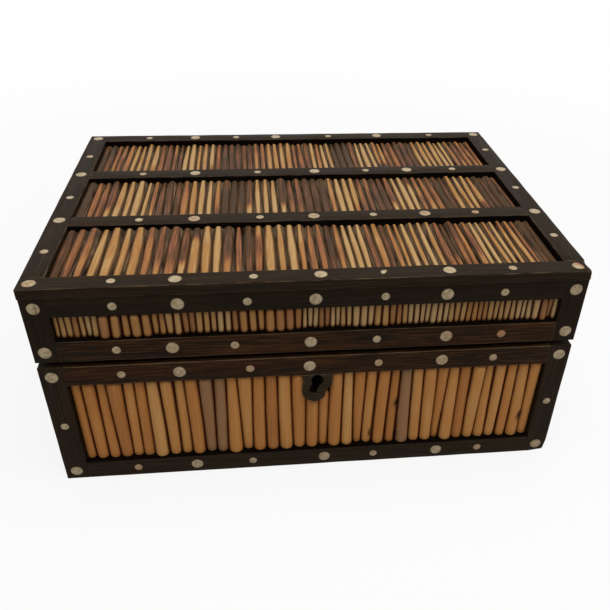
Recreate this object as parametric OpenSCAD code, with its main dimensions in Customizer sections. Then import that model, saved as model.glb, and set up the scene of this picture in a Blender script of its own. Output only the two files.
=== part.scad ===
// Ebony casket with panels of porcupine quills and inlaid bone pegs.
// X runs along the front, Y from front to back and Z up. The origin is the
// middle of the underside. All sizes are in millimetres.

/* [Box] */
// Width over the walls, left to right
wall_w = 301; // [240:1:360]
// Depth over the walls, front to back
wall_d = 225; // [180:1:270]
// Height of the base, from the table to its ebony rim
base_h = 84.5; // [66:0.5:110]
// Height of the lid, from its ebony rim to the top of its strips
lid_h = 46; // [40:0.5:64]
// Dark groove between the base's rim and the lid's rim
seam_gap = 3.5; // [2.6:0.1:4]

/* [Ebony frame] */
// Side of the square corner posts
post_w = 13; // [12.4:0.1:15]
// Height of the base's top rails
base_top_rail_h = 13; // [12:0.1:16]
// Height of the base's bottom rails
base_bottom_rail_h = 12.5; // [9:0.1:15]
// Height of the lid's top rails, below the top strips
lid_top_rail_h = 11.5; // [9:0.1:12.5]
// Height of the lid's bottom rails
lid_bottom_rail_h = 13.2; // [12:0.1:14]
// Thickness of the top strips at their outer edge
strip_t = 6; // [5:0.1:6.8]
// Width of the four strips round the top
strip_w = 12.2; // [11.5:0.1:13]
// Width of the two bars across the top
bar_w = 12.8; // [9:0.1:15]
// How far the top strips stand out past the walls
strip_overhang = 0.4; // [0.4:0.1:1.5]

/* [Quills] */
// Mean thickness of the quills round the base
base_quill_d = 7.2; // [6.4:0.1:7.6]
// Mean thickness of the quills round the lid
lid_quill_d = 3.7; // [3.4:0.1:4.4]
// Mean thickness of the quills in the top's front panel
top_quill_d = 5.3; // [4.6:0.1:6]
// Mean thickness of the quills in the top's middle panel
middle_quill_d = 5; // [4.2:0.1:6]
// Mean thickness of the quills in the top's back panel
back_quill_d = 4.5; // [4:0.1:6]
// How much one quill may differ from the mean, as a share of it
quill_spread = 0.15; // [0:0.01:0.2]
// How far a mean quill lies below the face of the base's rails
base_quill_recess = 2.3; // [2.1:0.1:2.8]
// How far a mean quill lies below the face of the lid's rails
lid_quill_recess = 2.5; // [2.2:0.1:3]
// How far a mean quill lies below the top strips
top_quill_recess = 2.2; // [2:0.1:3.2]

/* [Bone pegs] */
// Diameter of the large pegs
large_peg_d = 7.2; // [6:0.1:7.6]
// Diameter of the small pegs
small_peg_d = 4.8; // [3.5:0.1:5.6]
// Depth of the pegs
peg_depth = 2; // [1.2:0.1:2.2]
// Nearest wanted distance from one peg to the next
peg_pitch = 36; // [24:1:48]

/* [Carcass] */
// Thickness of the bottom board
bottom_board_t = 6; // [4:0.1:10]
// Thickness of the board under the top quills
top_board_t = 4.5; // [3:0.1:6]

/* [Hinges] */
// Length of each hinge
hinge_l = 38; // [30:1:50]
// Distance from the middle of the box to the middle of each hinge
hinge_x = 88; // [60:1:92]
// Diameter of the hinge knuckles
knuckle_d = 5.2; // [4.6:0.1:6]
// Diameter of the hinge pins
hinge_pin_d = 2.4; // [1.6:0.1:2.8]
// How far each leaf reaches over its rail
leaf_w = 5.8; // [5.4:0.1:5.8]
// Diameter of the brass screws
screw_d = 2.2; // [1.8:0.1:2.4]
// Length of the brass screws
screw_l = 8; // [6:0.5:9]

/* [Lock] */
// Distance of the keyhole from the middle, to the right
key_x = 1.5; // [-5:0.5:5]
// Width of the lock case
lock_w = 40; // [38:1:50]
// Height of the lock case
lock_h = 34; // [34:0.5:40]
// Thickness of the lock case, front to back
lock_t = 7; // [6.8:0.1:9]
// Thickness of the lock's brass sheet
lock_sheet = 1; // [0.8:0.1:1.2]
// How far the bolt slides
bolt_travel = 5.5; // [4.5:0.1:6]
// Diameter of the round part of the keyhole
keyhole_d = 6.8; // [5.5:0.1:7.2]
// Width of the keyhole's slot
key_slot_w = 4.8; // [4.6:0.1:5.2]
// Distance from the middle of the keyhole's round part to the end of its slot
key_slot_l = 10; // [8:0.1:11]
// Distance from the base's top rail down to the middle of the round part
key_drop = 4.3; // [4:0.1:5.2]
// Width of the shield-shaped escutcheon
shield_w = 17.6; // [14:0.1:22]
// Height of the escutcheon
shield_h = 20; // [17:0.1:24]

/* [Hidden] */

// Faces of the box, in quarter turns from the front
FACES = [0, 1, 2, 3];
FRONT = FACES[0];
RIGHT = FACES[1];
BACK = FACES[2];
LEFT = FACES[3];

EBONY = "#2a2320";
QUILL = "#d29a5c";
BONE = "#e6d9b8";
BRASS = "#b5964e";
BOARD = "#8a6238";

// Small clearances
quill_gap = 0.12;
quill_end_gap = 0.15;
bed_gap = 0.05;
peg_gap = 0.04;
pin_gap = 0.04;
leaf_gap = 0.2;
knuckle_gap = 0.3;
slide_gap = 0.3;
cut = 1;
$fn = 48;

// Levels and thicknesses that follow from the sizes above
box_h = base_h + seam_gap + lid_h;
seam_z = base_h + seam_gap / 2;
lid_z = base_h + seam_gap;
strip_z = box_h - strip_t;
base_bed = base_quill_recess + base_quill_d;
lid_bed = lid_quill_recess + lid_quill_d;
top_bed = top_quill_recess + top_quill_d;
bed_z = box_h - top_bed;
top_board_z = bed_z - top_board_t;
base_rail_z = base_h - base_top_rail_h;
lid_rail_z = strip_z - lid_top_rail_h;
lid_panel_z = lid_z + lid_bottom_rail_h;
plate_w = wall_w + 2 * strip_overhang;
plate_d = wall_d + 2 * strip_overhang;
top_w = plate_w - 2 * strip_w;
top_d = plate_d - 2 * strip_w;
panel_d = (top_d - 2 * bar_w) / 3;
bar_y = (panel_d + bar_w) / 2;
strip_mid_x = (plate_w - strip_w) / 2;
strip_mid_y = (plate_d - strip_w) / 2;

// How far the old hand-set pegs of each strip stray from an even spacing,
// from left to right
front_strip_stray = [4, 0, 4, 3, 1, 0, -1];
front_bar_stray = [10, 6, 9, 5.5, 6, 2, -2];
back_bar_stray = [4.5, 3, 9, 12, 11.5, 4.5, 1];
back_strip_stray = [1.5, -0.5, -6, -12, -7.5, -5.5, 0];
lid_top_stray = [3, 0, 0, 0, 1.5, -0.5, -4.5];
lid_bottom_stray = [1, -5.5, -8, -2.5, -1.5, 2, -2];
base_top_stray = [1, -3.5, -0.5, -3, 0.5, 1.5, -4];
base_bottom_stray = [0.5, 0, -2, 6.5, 1.5, 6, -3];
side_stray = [1.5, -1, 1, -2, 1.5];
NO_STRAY = [];

// Runs of thicker and thinner quills along some panels, as
// [share of the row, thickness against the mean]
EVEN_ROW = [[0, 1], [1, 1]];
lid_front_row = [
    [0, 0.9], [0.09, 0.9], [0.1, 1.4], [0.155, 1.4], [0.17, 1.05], [0.32, 1.05], [0.33, 1.3], [0.41, 1.3],
    [0.42, 0.78], [0.52, 0.78], [0.53, 1.05], [0.63, 1.05], [0.64, 0.88], [0.94, 0.88], [0.95, 1.35],
    [0.97, 1.35], [0.98, 0.85], [1, 0.85],
];
top_front_row = [[0, 1.18], [0.46, 1.18], [0.5, 0.86], [1, 0.86]];
top_middle_row = [[0, 1.06], [0.5, 1.04], [0.55, 0.95], [1, 0.95]];

// Rows of quills

function sum(v, i = 0) = i == len(v) ? 0 : v[i] + sum(v, i + 1);

function running_sum(v, i = 0, total = 0) =
    i == len(v) ? [total] : concat([total], running_sum(v, i + 1, total + v[i]));

// Edges of a row of uneven quills that fills a length exactly, from its middle
function quill_edges(length, mean, seed, row = EVEN_ROW) =
    let (
        count = max(1, round(length / mean)),
        shares = rands(1 - quill_spread, 1 + quill_spread, count, seed),
        sizes = [for (i = [0 : count - 1]) shares[i] * lookup((i + 0.5) / count, row)],
        scale_by = length / sum(sizes),
        edges = running_sum(sizes)
    ) [for (e = edges) e * scale_by - length / 2];

// Places of bone pegs along a strip

// A strip with a large peg at each end has an even number of spaces
function peg_spaces(span) = 2 * round(span / (2 * peg_pitch));

// [place, is large] of each peg between the two end pegs
function strip_pegs(span, stray) =
    let (count = peg_spaces(span))
    [for (i = [1 : count - 1])
        [-span / 2 + i * span / count + (i <= len(stray) ? stray[i - 1] : 0), i % 2 == 0]];

function face_length(face) = face % 2 == 0 ? wall_w : wall_d;

function rail_length(face) = face_length(face) - 2 * post_w;

function face_stray(face, front) = face == FRONT ? front : face % 2 == 1 ? side_stray : NO_STRAY;

// Pegs along a rail, in line with the pegs on the posts
function rail_pegs(face, stray) = strip_pegs(face_length(face) - post_w, face_stray(face, stray));

// Puts its children on a face: x runs to the viewer's right, y into the wall and z up
module on_face(face) {
    rotate([0, 0, 90 * face])
        translate([0, -face_length(face + 1) / 2, 0])
            children();
}

// Peg let into a face, or the bore for it when grow is above 0
module face_peg(large, grow = 0) {
    d = large ? large_peg_d : small_peg_d;
    translate([0, peg_depth, 0])
        rotate([90, 0, 0])
            cylinder(d = d + 2 * grow, h = peg_depth + (grow > 0 ? cut : 0));
}

// Peg let into the top, or the bore for it when grow is above 0
module top_peg(large, grow = 0) {
    d = large ? large_peg_d : small_peg_d;
    translate([0, 0, box_h - peg_depth])
        cylinder(d = d + 2 * grow, h = peg_depth + (grow > 0 ? cut : 0));
}

// All face pegs of one size on a rail of one face
module rail_peg_row(face, z, stray, large, grow = 0) {
    on_face(face)
        for (p = rail_pegs(face, stray))
            if (p[1] == large)
                translate([p[0], 0, z])
                    face_peg(large, grow);
}

// One peg at each end of every face, on the posts
module post_peg_row(z, large, grow = 0) {
    for (face = FACES)
        on_face(face)
            for (side = [-1, 1])
                translate([side * (face_length(face) - post_w) / 2, 0, z])
                    face_peg(large, grow);
}

// Ebony rail between two posts, bored for its pegs
module rail(face, z, h, t, stray) {
    length = rail_length(face);
    difference() {
        on_face(face)
            translate([-length / 2, 0, z])
                cube([length, t, h]);
        for (large = [true, false])
            rail_peg_row(face, z + h / 2, stray, large, peg_gap);
    }
}

// Board between two posts, behind the rails and quills
module wall_board(face, z, h, depth) {
    length = rail_length(face);
    on_face(face)
        translate([-length / 2, depth, z])
            cube([length, post_w - depth, h]);
}

// The four square posts, as plain bars
module post_bars(z, h) {
    for (sx = [-1, 1], sy = [-1, 1])
        translate([sx * (wall_w - post_w) / 2, sy * (wall_d - post_w) / 2, z + h / 2])
            cube([post_w, post_w, h], center = true);
}

// Row of upright quills on a face, standing against the board behind them
module wall_quills(face, z0, z1, mean, depth, seed, row = EVEN_ROW, past_keyhole = false) {
    edges = quill_edges(rail_length(face), mean, seed, row);
    on_face(face)
        for (i = [0 : len(edges) - 2]) {
            u = (edges[i] + edges[i + 1]) / 2;
            d = edges[i + 1] - edges[i] - quill_gap;
            top = past_keyhole && meets_keyhole(u, d) ? key_cut_z : z1;
            translate([u, depth - bed_gap - d / 2, z0 + quill_end_gap])
                cylinder(d = d, h = top - z0 - 2 * quill_end_gap);
        }
}

// Row of quills lying front to back on the top
module top_quills(y0, mean, seed, row = EVEN_ROW) {
    edges = quill_edges(top_w, mean, seed, row);
    for (i = [0 : len(edges) - 2]) {
        d = edges[i + 1] - edges[i] - quill_gap;
        translate([(edges[i] + edges[i + 1]) / 2, y0 + quill_end_gap, bed_z + bed_gap + d / 2])
            rotate([-90, 0, 0])
                cylinder(d = d, h = panel_d - 2 * quill_end_gap);
    }
}

// Base

module base_bottom_board() {
    color(BOARD)
        translate([post_w - wall_w / 2, post_w - wall_d / 2, 0])
            cube([wall_w - 2 * post_w, wall_d - 2 * post_w, bottom_board_t]);
}

module base_board(face) {
    color(BOARD)
        wall_board(face, 0, seam_z, base_bed);
}

// The front board has a mortise for the lock and its selvedge
module base_front_board() {
    color(BOARD)
        difference() {
            wall_board(FRONT, 0, seam_z, base_bed);
            translate([key_x - lock_w / 2, -wall_d / 2, lock_z])
                cube([lock_w, wall_d / 2, seam_z]);
            translate([key_x - selvedge_w / 2, -wall_d / 2, lock_top_z - selvedge_t])
                cube([selvedge_w, wall_d / 2, seam_z]);
            selvedge_screws(pin_gap);
        }
}

module base_corner_posts() {
    color(EBONY)
        difference() {
            post_bars(0, base_h);
            post_peg_row(base_rail_z + base_top_rail_h / 2, true, peg_gap);
            post_peg_row(base_h / 2, false, peg_gap);
            post_peg_row(base_bottom_rail_h / 2, true, peg_gap);
        }
}

module base_top_rail(face) {
    color(EBONY)
        difference() {
            rail(face, base_rail_z, base_top_rail_h, base_bed, base_top_stray);
            if (face == BACK)
                hinge_screws(-1, pin_gap);
        }
}

module base_bottom_rail(face) {
    color(EBONY)
        rail(face, 0, base_bottom_rail_h, base_bed, base_bottom_stray);
}

module base_quills(face) {
    color(QUILL)
        wall_quills(face, base_bottom_rail_h, base_rail_z, base_quill_d, base_bed, 11 + face,
            past_keyhole = face == FRONT);
}

module base_pegs(large) {
    color(BONE) {
        for (face = FACES) {
            rail_peg_row(face, base_rail_z + base_top_rail_h / 2, base_top_stray, large);
            rail_peg_row(face, base_bottom_rail_h / 2, base_bottom_stray, large);
        }
        if (large) {
            post_peg_row(base_rail_z + base_top_rail_h / 2, true);
            post_peg_row(base_bottom_rail_h / 2, true);
        } else {
            post_peg_row(base_h / 2, false);
        }
    }
}

// Lid walls

module lid_board(face) {
    color(BOARD)
        wall_board(face, seam_z, top_board_z - seam_z, lid_bed);
}

// The front board is let in below for the link plate
module lid_front_board() {
    color(BOARD)
        difference() {
            wall_board(FRONT, seam_z, top_board_z - seam_z, lid_bed);
            translate([key_x - link_w / 2, link_y, seam_z - cut])
                cube([link_w, wall_d / 2, cut + link_t]);
            link_screws(pin_gap);
        }
}

module lid_corner_posts() {
    color(EBONY)
        difference() {
            post_bars(lid_z, strip_z - lid_z);
            translate([-top_w / 2, -top_d / 2, bed_z])
                cube([top_w, top_d, top_bed]);
            post_peg_row(lid_rail_z + lid_top_rail_h / 2, true, peg_gap);
            post_peg_row(lid_z + lid_bottom_rail_h / 2, true, peg_gap);
        }
}

module lid_top_rail(face) {
    color(EBONY)
        rail(face, lid_rail_z, lid_top_rail_h, lid_bed, lid_top_stray);
}

module lid_bottom_rail(face) {
    color(EBONY)
        difference() {
            rail(face, lid_z, lid_bottom_rail_h, lid_bed, lid_bottom_stray);
            if (face == BACK)
                hinge_screws(1, pin_gap);
        }
}

module lid_quills(face) {
    color(QUILL)
        wall_quills(face, lid_panel_z, lid_rail_z, lid_quill_d, lid_bed, 31 + face,
            face == FRONT ? lid_front_row : EVEN_ROW);
}

// Top of the lid

// Board under the top quills, notched round the posts
module lid_top_board() {
    color(BOARD)
        difference() {
            translate([lid_bed - wall_w / 2, lid_bed - wall_d / 2, top_board_z])
                cube([wall_w - 2 * lid_bed, wall_d - 2 * lid_bed, top_board_t]);
            post_bars(0, box_h);
        }
}

// Strip along one edge of the top: it lies over the wall and fills the rebate behind the rails
module top_strip_block(face, length) {
    on_face(face) {
        translate([-length / 2, -strip_overhang, strip_z])
            cube([length, strip_w, strip_t]);
        translate([-rail_length(face) / 2, lid_bed, bed_z])
            cube([rail_length(face), strip_w - strip_overhang - lid_bed, strip_z - bed_z + strip_t / 2]);
    }
}

module top_strip(face, stray) {
    long = face % 2 == 0;
    color(EBONY)
        difference() {
            top_strip_block(face, long ? plate_w : top_d);
            post_bars(0, strip_z);
            for (large = [true, false])
                top_strip_pegs(face, stray, large, peg_gap);
        }
}

// Pegs of one size along one edge of the top; the long strips hold the corner pegs too
module top_strip_pegs(face, stray, large, grow = 0) {
    long = face % 2 == 0;
    span = 2 * (long ? strip_mid_x : strip_mid_y);
    on_face(face)
        translate([0, strip_w / 2 - strip_overhang, 0]) {
            for (p = strip_pegs(span, stray))
                if (p[1] == large)
                    translate([p[0], 0, 0])
                        top_peg(large, grow);
            if (large && long)
                for (side = [-1, 1])
                    translate([side * span / 2, 0, 0])
                        top_peg(true, grow);
        }
}

module cross_bar_pegs(side, stray, large, grow = 0) {
    for (p = strip_pegs(2 * strip_mid_x, stray))
        if (p[1] == large)
            translate([p[0], side * bar_y, 0])
                top_peg(large, grow);
}

module cross_bar(side, stray) {
    color(EBONY)
        difference() {
            translate([-top_w / 2, side * bar_y - bar_w / 2, bed_z])
                cube([top_w, bar_w, top_bed]);
            for (large = [true, false])
                cross_bar_pegs(side, stray, large, peg_gap);
        }
}

module lid_pegs(large) {
    color(BONE) {
        for (face = FACES) {
            rail_peg_row(face, lid_rail_z + lid_top_rail_h / 2, lid_top_stray, large);
            rail_peg_row(face, lid_z + lid_bottom_rail_h / 2, lid_bottom_stray, large);
        }
        if (large) {
            post_peg_row(lid_rail_z + lid_top_rail_h / 2, true);
            post_peg_row(lid_z + lid_bottom_rail_h / 2, true);
        }
        top_strip_pegs(FRONT, front_strip_stray, large);
        top_strip_pegs(BACK, -1 * reversed(back_strip_stray), large);
        top_strip_pegs(LEFT, side_stray, large);
        top_strip_pegs(RIGHT, side_stray, large);
        cross_bar_pegs(-1, front_bar_stray, large);
        cross_bar_pegs(1, back_bar_stray, large);
    }
}

function reversed(v) = [for (i = [len(v) - 1 : -1 : 0]) v[i]];

// Hinges

leaf_t = (seam_gap - leaf_gap) / 2;
hinge_y = wall_d / 2 + knuckle_gap + knuckle_d / 2;
knuckles = 5;
knuckle_l = hinge_l / knuckles;
screw_head_d = screw_d * 1.7;
screw_head_h = screw_d * 0.45;
leaf_screws = 3;
hinge_screw_y = wall_d / 2 - peg_depth - screw_d / 2 - slide_gap / 2;

// Screw pointing down from the origin, its flat head flush there
module screw(grow = 0) {
    translate([0, 0, -screw_l])
        cylinder(d = screw_d + 2 * grow, h = screw_l);
    translate([0, 0, -screw_head_h])
        cylinder(d1 = screw_d + 2 * grow, d2 = screw_head_d + 2 * grow, h = screw_head_h);
}

// Screws of the leaves on the base (up = -1) or on the lid (up = 1)
module hinge_screws(up, grow = 0) {
    for (sx = [-1, 1], i = [0 : leaf_screws - 1])
        translate([
            sx * hinge_x + (i + 0.5 - leaf_screws / 2) * hinge_l / leaf_screws,
            hinge_screw_y,
            seam_z + up * leaf_gap / 2
        ])
            rotate([up > 0 ? 180 : 0, 0, 0])
                screw(grow);
}

// Leaves of both hinges, with every second knuckle
module hinge_leaves(up, first) {
    color(BRASS)
        for (sx = [-1, 1])
            translate([sx * hinge_x - hinge_l / 2, 0, seam_z])
                difference() {
                    union() {
                        translate([0, wall_d / 2 - leaf_w, up > 0 ? leaf_gap / 2 : -leaf_gap / 2 - leaf_t])
                            cube([hinge_l, leaf_w, leaf_t]);
                        for (i = [first : 2 : knuckles - 1])
                            translate([i * knuckle_l + leaf_gap / 2, 0, 0]) {
                                translate([0, wall_d / 2 - cut, up > 0 ? leaf_gap / 2 : -leaf_gap / 2 - leaf_t])
                                    cube([knuckle_l - leaf_gap, hinge_y - wall_d / 2 + cut, leaf_t]);
                                translate([0, hinge_y, 0])
                                    rotate([0, 90, 0])
                                        cylinder(d = knuckle_d, h = knuckle_l - leaf_gap);
                            }
                    }
                    translate([-cut, hinge_y, 0])
                        rotate([0, 90, 0])
                            cylinder(d = hinge_pin_d + 2 * pin_gap, h = hinge_l + 2 * cut);
                    translate([hinge_l / 2 - sx * hinge_x, 0, -seam_z])
                        hinge_screws(up, pin_gap);
                }
}

module hinge_pins() {
    color(BRASS)
        for (sx = [-1, 1])
            translate([sx * hinge_x - hinge_l / 2, hinge_y, seam_z])
                rotate([0, 90, 0])
                    cylinder(d = hinge_pin_d, h = hinge_l);
}

// Lock

lock_y = base_bed - wall_d / 2 + bed_gap;
lock_top_z = seam_z - leaf_gap / 2;
lock_z = lock_top_z - lock_h;
selvedge_t = 1.2;
selvedge_tab = 7;
selvedge_w = lock_w + 2 * selvedge_tab;
key_z = base_rail_z - key_drop;
key_margin = 1;
key_cut_z = key_z - key_slot_l - key_margin;
foot_roundness = 0.56;
cover_screw_d = 1.6;
cover_boss = 3.6;
staple_gap = 0.5;
staple_t = 1.8;
staple_w = lock_t - 2 * lock_sheet - 2 * staple_gap;
staple_y = lock_y + lock_t / 2;
staple_foot = 1.6;
arm_w = 3;
inner_w = lock_w - 2 * lock_sheet;
staple_x = inner_w / 2 - 2 * slide_gap - staple_t / 2 - bolt_travel - arm_w;
nose_w = 2;
nose_h = 2.6;
nose_z = lock_top_z - selvedge_t - cover_boss - slide_gap - nose_h / 2;
staple_low_z = nose_z - nose_h / 2 - slide_gap - staple_foot;
bar_high_z = staple_low_z - staple_gap;
bar_h = 3.6;
bar_low_z = bar_high_z - bar_h;
ledge_w = 3;
ledge_t = 1.5;
key_notch_d = 5;
link_w = 36;
link_t = 1.2;
link_lead = 1.2;
link_rim = 0.4;
link_y = lock_y - link_lead;

// A quill that would cross the keyhole stops below it
function meets_keyhole(u, d) = abs(u - key_x) < (keyhole_d + d + key_margin) / 2;

// Keyhole as a prism that runs from y0 towards the back
module keyhole(y0, length) {
    translate([key_x, y0, key_z])
        rotate([-90, 0, 0]) {
            cylinder(d = keyhole_d, h = length);
            translate([-key_slot_w / 2, 0, 0])
                cube([key_slot_w, key_slot_l, length]);
        }
}

// Shield over the front quills: straight shoulders and a round foot
module escutcheon() {
    t = base_bed - base_quill_d * (1 + quill_spread) + strip_overhang - 2 * bed_gap;
    foot_r = shield_w * foot_roundness;
    shoulder_h = shield_h - foot_r;
    color(EBONY)
        difference() {
            translate([key_x, bed_gap - wall_d / 2 - strip_overhang, base_rail_z - shoulder_h]) {
                translate([-shield_w / 2, 0, 0])
                    cube([shield_w, t, shoulder_h]);
                intersection() {
                    translate([-shield_w / 2, 0, -foot_r])
                        cube([shield_w, t, foot_r + shoulder_h / 2]);
                    rotate([-90, 0, 0])
                        cylinder(r = foot_r, h = t, $fn = 96);
                }
            }
            keyhole(-wall_d / 2 - cut, base_bed);
        }
}

// Screws through the ends of the lock's selvedge into the front board
module selvedge_screws(grow = 0) {
    for (side = [-1, 1])
        translate([key_x + side * (lock_w + selvedge_w) / 4, lock_y + screw_head_d / 2 + bed_gap, lock_top_z])
            screw(grow);
}

// Screws that hold the cover on the case's four bosses
module cover_screws(grow = 0) {
    for (sx = [-1, 1], z = [lock_z + cover_boss / 2, lock_top_z - selvedge_t - cover_boss / 2])
        translate([key_x + sx * (lock_w - cover_boss) / 2, lock_y + lock_sheet, z])
            rotate([-90, 0, 0])
                cylinder(d = cover_screw_d + 2 * grow, h = lock_t + (grow > 0 ? cut : 0));
}

// Case of sheet brass, open to the inside of the box, with its selvedge on top
module lock_case() {
    color(BRASS)
        difference() {
            union() {
                difference() {
                    translate([key_x - lock_w / 2, lock_y, lock_z])
                        cube([lock_w, lock_t, lock_h]);
                    translate([key_x - inner_w / 2, lock_y + lock_sheet, lock_z + lock_sheet])
                        cube([inner_w, lock_t, lock_h - lock_sheet - selvedge_t]);
                }
                for (sx = [-1, 1], z = [lock_z, lock_top_z - selvedge_t - cover_boss])
                    translate([key_x + sx * (lock_w - cover_boss) / 2 - cover_boss / 2, lock_y, z])
                        cube([cover_boss, lock_t, cover_boss]);
                for (side = [-1, 1])
                    translate([
                        key_x + side * (inner_w - ledge_w) / 2 - ledge_w / 2,
                        lock_y,
                        bar_low_z - slide_gap - ledge_t
                    ])
                        cube([ledge_w, lock_t, ledge_t]);
                translate([key_x - selvedge_w / 2, lock_y, lock_top_z - selvedge_t])
                    cube([selvedge_w, lock_t, selvedge_t]);
            }
            for (side = [-1, 1])
                translate([
                    key_x + side * staple_x - staple_t / 2 - slide_gap,
                    staple_y - staple_w / 2 - staple_gap,
                    lock_top_z - 2 * selvedge_t
                ])
                    cube([staple_t + 2 * slide_gap, staple_w + 2 * staple_gap, 3 * selvedge_t]);
            keyhole(lock_y - cut, lock_sheet + 2 * cut);
            selvedge_screws(pin_gap);
            cover_screws(pin_gap);
        }
}

module lock_cover() {
    color(BRASS)
        difference() {
            translate([key_x - lock_w / 2, lock_y + lock_t, lock_z])
                cube([lock_w, lock_sheet, lock_h - selvedge_t]);
            cover_screws(pin_gap);
        }
}

// Bar with two arms whose noses slide through the staples; the notch is for the key
module lock_bolt() {
    bolt_t = lock_t - 2 * lock_sheet - 2 * slide_gap;
    nose_l = bolt_travel + arm_w;
    bar_w = inner_w - 2 * slide_gap - bolt_travel;
    color(BRASS)
        translate([key_x, staple_y, 0])
            difference() {
                union() {
                    translate([slide_gap - inner_w / 2, -bolt_t / 2, bar_low_z])
                        cube([bar_w, bolt_t, bar_high_z - bar_low_z]);
                    for (side = [-1, 1])
                        translate([side * staple_x - staple_t / 2 - slide_gap - nose_l, 0, 0]) {
                            translate([0, -bolt_t / 2, bar_low_z])
                                cube([arm_w, bolt_t, nose_z + nose_h / 2 - bar_low_z]);
                            translate([0, -nose_w / 2, nose_z - nose_h / 2])
                                cube([nose_l, nose_w, nose_h]);
                        }
                }
                translate([-bolt_travel / 2, bolt_t / 2 + cut, bar_low_z])
                    rotate([90, 0, 0])
                        cylinder(d = key_notch_d, h = bolt_t + 2 * cut);
            }
}

// Screws through the link plate, up into the lid's front board
module link_screws(grow = 0) {
    for (side = [-1, 1])
        translate([key_x + side * (link_w / 2 - screw_head_d), link_y + screw_head_d / 2 + slide_gap, seam_z])
            rotate([180, 0, 0])
                screw(grow);
}

// Two flat bars that pass up through the link plate
module staple_bars() {
    for (side = [-1, 1])
        translate([key_x + side * staple_x - staple_t / 2, staple_y - staple_w / 2, staple_low_z])
            cube([staple_t, staple_w, seam_z - staple_low_z + link_t]);
}

// Plate under the lid's front edge
module link_plate() {
    color(BRASS)
        difference() {
            translate([key_x - link_w / 2, link_y, seam_z])
                cube([link_w, staple_y + staple_w / 2 + link_rim - link_y, link_t]);
            staple_bars();
            link_screws(pin_gap);
        }
}

// Staples riveted into the link plate; they drop into the lock, where the bolt's noses pass through them
module link_staples() {
    color(BRASS)
        difference() {
            staple_bars();
            for (side = [-1, 1])
                translate([key_x + side * staple_x, staple_y, nose_z])
                    cube([staple_t + cut, nose_w + 2 * slide_gap, nose_h + 2 * slide_gap], center = true);
        }
}

module base_screws() {
    color(BRASS) {
        hinge_screws(-1);
        selvedge_screws();
        cover_screws();
    }
}

module lid_screws() {
    color(BRASS) {
        hinge_screws(1);
        link_screws();
    }
}

base_bottom_board();
base_front_board();
base_board(RIGHT);  // base_right_board
base_board(BACK);  // base_back_board
base_board(LEFT);  // base_left_board
base_corner_posts();
base_top_rail(FRONT);  // base_top_rail_front
base_top_rail(RIGHT);  // base_top_rail_right
base_top_rail(BACK);  // base_top_rail_back
base_top_rail(LEFT);  // base_top_rail_left
base_bottom_rail(FRONT);  // base_bottom_rail_front
base_bottom_rail(RIGHT);  // base_bottom_rail_right
base_bottom_rail(BACK);  // base_bottom_rail_back
base_bottom_rail(LEFT);  // base_bottom_rail_left
base_quills(FRONT);  // base_quills_front
base_quills(RIGHT);  // base_quills_right
base_quills(BACK);  // base_quills_back
base_quills(LEFT);  // base_quills_left
base_pegs(true);  // base_large_pegs
base_pegs(false);  // base_small_pegs
base_screws();
lid_top_board();
lid_front_board();
lid_board(RIGHT);  // lid_right_board
lid_board(BACK);  // lid_back_board
lid_board(LEFT);  // lid_left_board
lid_corner_posts();
lid_top_rail(FRONT);  // lid_top_rail_front
lid_top_rail(RIGHT);  // lid_top_rail_right
lid_top_rail(BACK);  // lid_top_rail_back
lid_top_rail(LEFT);  // lid_top_rail_left
lid_bottom_rail(FRONT);  // lid_bottom_rail_front
lid_bottom_rail(RIGHT);  // lid_bottom_rail_right
lid_bottom_rail(BACK);  // lid_bottom_rail_back
lid_bottom_rail(LEFT);  // lid_bottom_rail_left
lid_quills(FRONT);  // lid_quills_front
lid_quills(RIGHT);  // lid_quills_right
lid_quills(BACK);  // lid_quills_back
lid_quills(LEFT);  // lid_quills_left
top_strip(FRONT, front_strip_stray);  // top_strip_front
top_strip(BACK, -1 * reversed(back_strip_stray));  // top_strip_back
top_strip(LEFT, side_stray);  // top_strip_left
top_strip(RIGHT, side_stray);  // top_strip_right
cross_bar(-1, front_bar_stray);  // cross_bar_front
cross_bar(1, back_bar_stray);  // cross_bar_back
top_quills(-top_d / 2, top_quill_d, 51, top_front_row);  // top_quills_front
top_quills(-panel_d / 2, middle_quill_d, 52, top_middle_row);  // top_quills_middle
top_quills(top_d / 2 - panel_d, back_quill_d, 53);  // top_quills_back
lid_pegs(true);  // lid_large_pegs
lid_pegs(false);  // lid_small_pegs
lid_screws();
hinge_leaves(-1, 0);  // hinge_base_leaves
hinge_leaves(1, 1);  // hinge_lid_leaves
hinge_pins();
escutcheon();
lock_case();
lock_cover();
lock_bolt();
link_plate();
link_staples();
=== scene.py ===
"""Looks of an ebony casket with porcupine quill panels and inlaid bone pegs.

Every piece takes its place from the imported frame. A quill or peg is built inside the box of its
own solid, and the ebony bars and the escutcheon are built worn, over the solids that they stand
for. Boards, hinges, screws and lock keep their solids and get a softened edge and a finish.
"""

import logging
import math
import random
from dataclasses import dataclass, field
from enum import Enum

import bpy
from mathutils import Matrix, Vector, noise


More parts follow.
